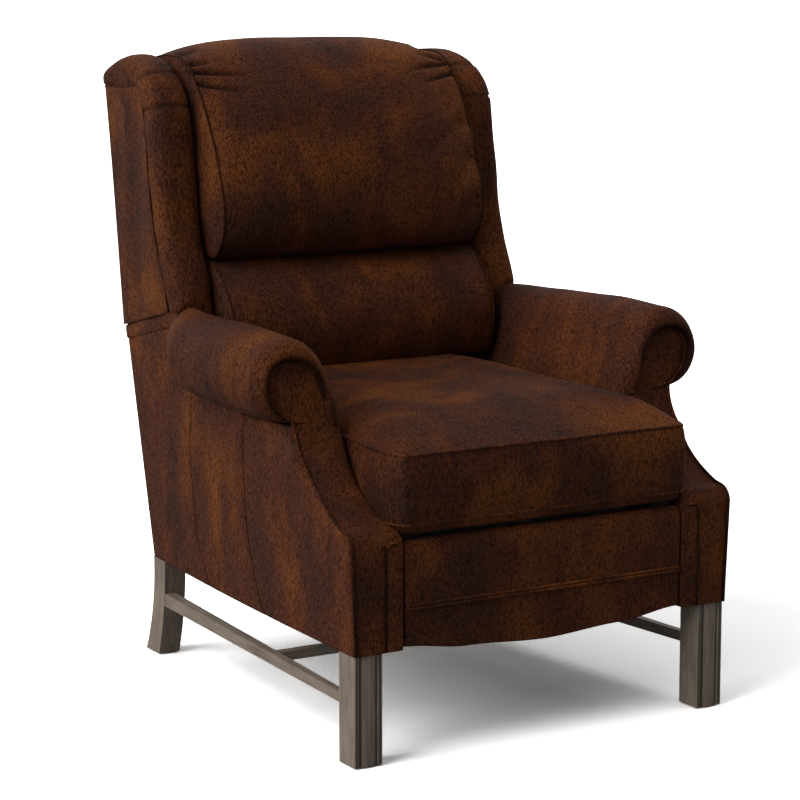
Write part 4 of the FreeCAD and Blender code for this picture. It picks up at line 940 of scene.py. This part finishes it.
# Arm fronts, from the hem over post, lip, sweep and neck to the scroll's disc: the outer edge as y, z and x,
# with no x where it follows the side, and the inner edge as x, y and z
ARM_FRONT = (
    (-4, 176, None, 293.5, -4, 176), (-4, 230, None, 293.5, -4, 230), (-4, 300, None, 293.5, -4, 300),
    (-4, 334, None, 293.5, -4, 336), (-4, 340, None, 290, -4, 343), (-3.5, 346, None, 266, -3, 347),
    (-1, 353, None, 264, -2, 350), (8, 363, None, 264, 6, 353), (36, 371.5, None, 265, 38, 358),
    (60, 384, 354, 265.5, 70, 362), (82, 397, 353.5, 265.5, 102, 372), (105, 415, 353.5, 265.5, 128, 388),
    (129, 440, 356, 265.5, 150, 412), (147, 461, 357, 265.5, 167, 440), (159, 481, 357, 266, 178, 468),
    (166, 500, 358, 270, 180, 490), (168, 510, 359, 277, 174, 504), (171, 520, 371, 286, 170, 519),
    (175, 541, 391, 298, 169.5, 541), (177, 562, 399, 306, 170, 562), (177, 582, 396, 315, 173, 582),
    (177, 596, 384, 329, 176, 596), (177, 604, 362, 350, 177, 604))
FACING_DEPTH = 5.0
# How far the panel wraps round its inner edge, by height
FACING_WRAP = ((395, 22), (420, 9), (488, 9), (522, 1))
FRONT_HIDES = {"left": ((0.12, 0.7, 0.35), 0.82), "right": ((0.6, 0.1, 0.05), 0.95)}


def front_leather(side):
    """The leather of one arm's front and strip. The right arm's is from another part of the hide."""
    shift, tone = FRONT_HIDES[side]
    name = f"front_{side}"
    return bpy.data.materials.get(f"pull_up_leather_{name}") or leather(name, shift, tone=tone)


def side_surface(y, z):
    """The outer side, with the fullness at the foot of the neck."""
    neck = math.exp(-((z - 452) / 30) ** 2) * math.exp(-((y - 140) / 60) ** 2)
    return plan_x(y, z) + 9 * neck


class RECLINER_OT_arm_fronts(bpy.types.Operator):
    """Front of each arm in one shaped panel from the hem to the scroll's disc, piped along its outer edge"""
    bl_idname = "recliner.arm_fronts"
    bl_label = "Arm fronts"

    def execute(self, context):
        cords = cord_leather("front_piping", 0.6)
        seam_shade = seam_shade_leather("front_seams", 0.22)
        count, cells = 110, 22
        outer = through([(x or side_surface(y, z) - 4, y, z) for y, z, x, *_ in ARM_FRONT])
        inner = through([key[3:] for key in ARM_FRONT])
        middle = [(a + b) / 2 for a, b in zip(inner, outer)]
        run = [0.0]
        for a, b in zip(middle, middle[1:]):
            run.append(run[-1] + (b - a).length)
        for side, s in SIDES:
            rows = []
            for k in range(count + 1):
                want = run[-1] * k / count
                i = max(j for j in range(len(run) - 1) if run[j] <= want + 1e-6)
                t = (want - run[i]) / max(run[i + 1] - run[i], 1e-6)
                a, b = inner[i].lerp(inner[i + 1], t), outer[i].lerp(outer[i + 1], t)
                along = middle[i + 1] - middle[i]
                normal = Vector((0, -along.z, along.y)).normalized()
                row = []
                for j in range(cells + 1):
                    across = (j / cells) ** 1.8
                    wrap = 1 - math.sqrt(1 - (1 - across) ** value(FACING_WRAP, b.z))
                    lift = 3.0 * (1 - abs(2 * across - 1) ** 3) - 3.0
                    p = Vector((a.x + (b.x - a.x) * across, b.y + (a.y - b.y) * wrap, b.z + (a.z - b.z) * wrap))
                    p += normal * lift
                    row.append((s * p.x, p.y, p.z))
                rows.append(row)
            made = panel(f"arm_front_{side}_cover", rows, (0, -1, 0.4), FACING_DEPTH, 2.5, 3)
            placed(made, "base", front_leather(side), f"arm_facing_{side}")
            ring = [p for p in outer if p.z > 345] + [p for p in reversed(inner) if p.z > 581]
            edge = [Vector((s * p.x, p.y, p.z)) for p in even(ring, 170)]
            placed(tube(f"arm_front_{side}_piping", edge, sizes().seam / MM + 0.3, (0.2, 0.9, 0.3)), "base", cords)
            corner = [(s * (side_surface(-4, z) - 4.6), -3.4, z) for z in (176.5, 230, 300, 346)]
            strip = [(s * 294, -2.0, z) for z in (176.5, 230, 300, 337)]
            strip += [(s * 291, -2.6, 342.5), (s * 279, -2.6, 345.5)]
            # The corner and strip seams are near-black cords, painted shade in the seam lines.
            for name, line, radius in (("corner", corner, 2.4), ("strip", strip, 1.9)):
                placed(tube(f"arm_front_{side}_{name}_seam", line, radius, (0, 1, 0)), "base", seam_shade)
        return {"FINISHED"}


class RECLINER_OT_inner_arms(bpy.types.Operator):
    """Padded insides of the arms, under the rolls and behind the arm fronts"""
    bl_idname = "recliner.inner_arms"
    bl_label = "Inner arms"

    def execute(self, context):
        cover = leather("inner_arms", shift=(0.22, 0.05, 0.31), flow=(0.4, 1, 0.4), tone=0.92)
        nu, nv = 40, 14
        bottom = even([Vector((30, 354)), Vector((100, 356)), Vector((655, 392))], nu + 1)
        sweep = [Vector((y + 3, z - 2)) for *_, y, z in ARM_FRONT if 60 < y and z < 491]
        rear = [Vector(p) for p in ((186, 500), (596, 498), (604, 520), (606, 598), (655, 598))]
        top = even([Vector((30, 358))] + sweep + rear, nu + 1)
        rows = coons(bottom, top, even([bottom[0], top[0] + Vector((0, 0.5))], nv + 1),
                     even([bottom[-1], top[-1]], nv + 1))
        for side, s in SIDES:
            made = panel(f"inner_arm_{side}_cover", [[(s * (INNER_ARM + 1), p.x, p.y) for p in row] for row in rows],
                         (-s, 0, 0), 13, 3, 3)
            placed(made, "base", cover, f"inner_arm_pad_{side}", fill=0.4)
        return {"FINISHED"}


# Outer sides: seams as (y, z)
FRONT_SEAM = ((302, 176), (318, 199), (337, 238), (353, 292), (358, 390), (353, 456), (341, 500))
REAR_SEAM = ((521, 176), (533, 196), (558, 235), (574, 318), (575, 420), (563, 470), (556, 535))
SIDE_TOP = ((168, 506), (250, 501), (341, 500))
SIDE_TOP_MIDDLE = ((341, 500), (425, 508), (513, 522), (556, 535))
SIDE_TOP_REAR = ((556, 535), (590, 553), (600, 585), (607, 605), (642, 602), (847, 557.5))
SIDE_THICKNESS = 6.0
# How far the front edge curls in at a height, and over how much of the side
CURL = ((376, 4.5), (415, 7.5), (440, 10.8), (461, 11.5), (481, 7), (505, 4.5))
CURL_REACH = ((376, 5), (415, 12), (461, 14), (481, 10), (505, 5))
# The shares of a panel's length at which its points stand, closer together near the seams
NEAR_SEAM, FAR_SEAM = [0, 0.006, 0.015, 0.035], [0.965, 0.985, 0.994, 1]
BAND_FRONT = 597.0                                 # where the band between the side and the wing starts


def seam_tuck(distance):
    """How deep a seam draws the leather in, at that share of the panel away from it."""
    return 3.2 * math.exp(-distance / 0.012)


def band_edges(y):
    """Heights of the band's lower and upper seams at y."""
    return 599.5 - 0.218 * (y - 642), min(629, 628.4 - 0.246 * (y - 650))


class RECLINER_OT_sides(bpy.types.Operator):
    """Outer sides: three panels each, sewn together along two curved seams, and a sloped band above them"""
    bl_idname = "recliner.sides"
    bl_label = "Outer sides"

    def execute(self, context):
        cover = leather("sides", shift=(0.0, 0.41, 0.12), flow=(1, 1, 0.5), tone=1.14)
        nv = 46
        front = [Vector((y + 0.5, z - 0.5)) for y, z, *_ in ARM_FRONT if z < 505]
        edge = [even(front + [Vector((168, 506))], nv + 1), through(FRONT_SEAM, nv + 1), through(REAR_SEAM, nv + 1),
                even([Vector((rear_y(z), z)) for z in (176, 557.5)], nv + 1)]
        tops = (SIDE_TOP, SIDE_TOP_MIDDLE, SIDE_TOP_REAR)
        for side, s in SIDES:
            parts = []
            for k, (top, nu) in enumerate(zip(tops, (34, 28, 34))):
                left, right = edge[k], edge[k + 1]
                shares = NEAR_SEAM + [0.06 + 0.88 * i / (nu - 8) for i in range(nu - 7)] + FAR_SEAM
                dense_top, dense_low = even(through(top), 401), even([left[0], right[0]], 401)
                lows = [dense_low[round(400 * t)] for t in shares]
                highs = [dense_top[round(400 * t)] for t in shares]
                rows = []
                for j in range(nv + 1):
                    v = j / nv
                    row = []
                    for t, low, high in zip(shares, lows, highs):
                        p = low.lerp(high, v) + left[j].lerp(right[j], t)
                        p -= lows[0].lerp(lows[-1], t).lerp(highs[0].lerp(highs[-1], t), v)
                        if k > 0:
                            tuck = seam_tuck(t)
                        else:
                            far = t * (right[j] - left[j]).length / value(CURL_REACH, p.y)
                            tuck = value(CURL, p.y) * max(0.0, 1 - far) ** 2
                        if k < 2:
                            tuck += seam_tuck(1 - t)
                        row.append((s * (side_surface(p.x, p.y) - tuck), p.x, p.y))
                    rows.append(row)
                parts.append(grid(f"side_{side}_{k}", rows))
            made = refine(thick(turned(joined(f"outer_side_{side}_cover", parts), (s, 0, 0)), SIDE_THICKNESS))
            # Painted shade along the two seams between the panels.
            mark(made, lambda p: 0.75 * max(math.exp(-((p.y - y_on(seam, p.z)) / 2.0) ** 2) for seam in edge[1:3]))
            placed(made, "base", cover, f"outer_side_panel_{side}")

            def band(u, v):
                y = BAND_FRONT + (rear_y(558 + 24 * v) - 0.5 - BAND_FRONT) * u
                low, high = band_edges(y)
                z = low + (high - low) * v
                return s * (side_surface(y, z) + 1.2 + 1.5 * (1 - abs(2 * v - 1) ** 4)), y, z
            placed(panel(f"arm_band_{side}_cover", net(band, 44, 8), (s, 0, 0), 3.5, 1.2), "base", cover)
        return {"FINISHED"}


class RECLINER_OT_back(bpy.types.Operator):
    """Outside back: the upper panel leans with the back, the lower one is fixed"""
    bl_idname = "recliner.back"
    bl_label = "Outside back"

    def execute(self, context):
        cover = leather("back", shift=(0.5, 0.2, 0.6))
        cords = cord_leather("back_piping", 0.8)
        for name, body, low, high, arch, half, inset, depth in (
                ("upper", "back", 612, 1012, 32, lambda z: 307.0, 5, 7),
                ("lower", "base", 178, 598, 0, lambda z: plan_x(rear_y(z), z) - 2.6, 3, 1)):
            def face(u, v):
                s = 2 * u - 1
                z = low + (high + arch * (1 - s * s) - low) * v
                soft = (1 - abs(s) ** 6) * (1 - abs(2 * v - 1) ** 6)
                return s * half(z), rear_y(z) - inset + 2.5 * soft, z
            rows = net(face, 40, 28)
            node = "outer_back_panel" if name == "upper" else "lower_back_panel"
            placed(panel(f"{name}_back_cover", rows, (0, 1, 0), depth, 1.5), body, cover, node)
            loop = rows[0][:-1] + [row[-1] for row in rows[:-1]] + rows[-1][:0:-1] + [row[0] for row in rows[:0:-1]]
            cord = tube(f"{name}_back_piping", [(x, y - 1, z) for x, y, z in loop], 2.4, (0, 1, 0.19), loop=True)
            placed(cord, body, cords)
        return {"FINISHED"}


# Footrest and the strips beside it
FOOTREST_HALF, FOOTREST_TOP, WELT, APRON_END, APRON_DROP = 259.0, 345.0, 242.0, 181.0, 20.5
STRIP_TOP = 349


class RECLINER_OT_footrest(bpy.types.Operator):
    """Footrest: padded panel, double welt and an apron with an ogee edge"""
    bl_idname = "recliner.footrest"
    bl_label = "Footrest"

    def execute(self, context):
        cover = leather("footrest", shift=(0.33, 0.6, 0.2), tone=0.88)
        cords = cord_leather("welt", 1.1)

        def height(v):
            return WELT + 2 + (FOOTREST_TOP - WELT - 6) * v

        def face(u, v):
            s = 2 * u - 1
            crown = 3.5 * (1 - abs(s) ** 6) * math.sin(math.pi * (0.15 + 0.7 * v))
            return s * FOOTREST_HALF, -1.0 - crown + 8 * max(0, v - 0.86) ** 2 * 50, height(v)

        def back(u, v):
            return (2 * u - 1) * FOOTREST_HALF, 21.5, height(v)
        pad, _ = boxed("footrest_pad_cover", face, back, (48, 14, 6), lambda u, v: 3.0 if v == 1 else 0.6)
        placed(refine(pad), "footrest", cover, "footrest_pad", fill=0.4)

        def apron(y, edge):
            def point(u, v):
                s = 2 * u - 1
                low = APRON_END - APRON_DROP * value([(0, 1), (0.55, 0.62), (1, 0)], abs(s))
                return s * FOOTREST_HALF, y + edge * (1 - v) ** 3, low + (WELT - 2 - low) * v
            return point
        skirt, _ = boxed("footrest_apron_cover", apron(0.5, 0.0), apron(21, -6.0), (60, 14, 6),
                         lambda u, v: 2.0 if v == 0 else 0.3)
        placed(refine(skirt), "footrest", cover, "footrest_apron", fill=0.2)
        for k, z in enumerate((WELT - 2.6, WELT + 2.6)):
            run = [(-FOOTREST_HALF + 2 * FOOTREST_HALF * i / 60, -2.2, z) for i in range(61)]
            placed(tube(f"footrest_welt_{k + 1}", run, 2.6, (0, 0, 1)), "footrest", cords)
        return {"FINISHED"}


class RECLINER_OT_strips(bpy.types.Operator):
    """Flat upholstered strips between the arm fronts and the footrest"""
    bl_idname = "recliner.strips"
    bl_label = "Front strips"

    def execute(self, context):
        for side, _ in SIDES:
            low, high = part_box(f"front_strip_{side}")
            x0, x1 = low.x / MM + 0.4, high.x / MM - 0.4
            y0, y1 = low.y / MM - LEG_PLANE, high.y / MM - LEG_PLANE

            def flat(y, crown):
                def point(u, v):
                    return (x0 + (x1 - x0) * u, y - crown * (1 - abs(2 * u - 1) ** 4) + 8 * max(0, v - 0.92) ** 2 * 156,
                            HEM + 0.5 + (STRIP_TOP - HEM) * v)
                return point
            strip, _ = boxed(f"front_strip_{side}_cover", flat(y0 + 2, 1.5), flat(y1, 0), (8, 40, 6), lambda u, v: 1.2)
            placed(refine(strip), "base", front_leather(side), f"front_strip_{side}")
        return {"FINISHED"}


class RECLINER_OT_frame(bpy.types.Operator):
    """Wood, steel, webbing and cloth finishes of the pieces that the frame carries over"""
    bl_idname = "recliner.frame"
    bl_label = "Frame finishes"

    def execute(self, context):
        legs = oak("stained_oak_legs", 2, reeded=True)
        side_rails = oak("stained_oak_side_rails", 1)
        rail = oak("stained_oak_rail", 0)
        # Near black: a dark stain on the hardwood outside the base, which also paints the shadow in the gap under the
        # seat cushion.
        stain_and_shadow = oak("black_stain_and_painted_shadow", 0, "#2b2622", "#1a1613")
        finishes = {
            "frame_hardwood": oak("raw_beech", 0, "#c9a778", "#a98355"),
            "mechanism_steel": steel("powder_coated_steel", "#1d1d1f", "#121213", 0.0, 0.45),
            "zinc_pins": steel("zinc_plated_steel", "#a9a9ad", "#8b8b90", 1.0, 0.34),
            "spring_steel": steel("oil_tempered_wire", "#5b5b60", "#3c3c40", 1.0, 0.4),
            "nylon": steel("moulded_nylon", "#131313", "#0c0c0c", 0.0, 0.5),
            "webbing": woven("elastic_webbing", "#7b6750", "#4c3e2f", 2.2),
            "deck_cloth": woven("spunbond_deck_cloth", "#262626", "#141414", 1.8),
        }
        for part in frame["record"]["subparts"]:
            name, slot = part["node"], part["material_slot"]
            if slot == "brown_leather":
                continue
            # Hardwood outside the base gets the near-black wood, painted shadow in the gap under the cushion.
            if slot == "frame_hardwood" and not name.startswith("base_"):
                made = stain_and_shadow
            elif slot == "weathered_oak":
                made = legs if "leg" in name else (rail if name == "cross_stretcher" else side_rails)
            else:
                made = finishes[slot]
            mesh = frame["nodes"][name].data
            mesh.materials.clear()
            mesh.materials.append(made)
        return {"FINISHED"}


class RECLINER_PT_panel(bpy.types.Panel):
    """Lists the steps that dress the recliner"""
    bl_label = "Recliner"
    bl_idname = "RECLINER_PT_panel"
    bl_space_type = "VIEW_3D"
    bl_region_type = "UI"
    bl_category = "Recliner"

    def draw(self, context):
        for key in ReclinerSizes.__annotations__:
            self.layout.prop(context.scene.recliner_sizes, key)
        for key in ReclinerColours.__annotations__:
            self.layout.prop(context.scene.recliner_colours, key)
        for step in STEPS:
            self.layout.operator(step.bl_idname)


STEPS = (RECLINER_OT_stage, RECLINER_OT_seat, RECLINER_OT_pillows, RECLINER_OT_wings, RECLINER_OT_arm_rolls,
         RECLINER_OT_arm_fronts, RECLINER_OT_inner_arms, RECLINER_OT_sides, RECLINER_OT_back, RECLINER_OT_footrest,
         RECLINER_OT_strips, RECLINER_OT_frame)
CLASSES = (ReclinerSizes, ReclinerColours, *STEPS, RECLINER_PT_panel)


def register():
    for made in CLASSES:
        bpy.utils.register_class(made)
    bpy.types.Scene.recliner_sizes = bpy.props.PointerProperty(type=ReclinerSizes)
    bpy.types.Scene.recliner_colours = bpy.props.PointerProperty(type=ReclinerColours)


def unregister():
    del bpy.types.Scene.recliner_colours
    del bpy.types.Scene.recliner_sizes
    for made in reversed(CLASSES):
        bpy.utils.unregister_class(made)


def main():
    register()
    for step in STEPS:
        group, name = step.bl_idname.split(".")
        getattr(getattr(bpy.ops, group), name)()


if __name__ == "__main__":
    main()
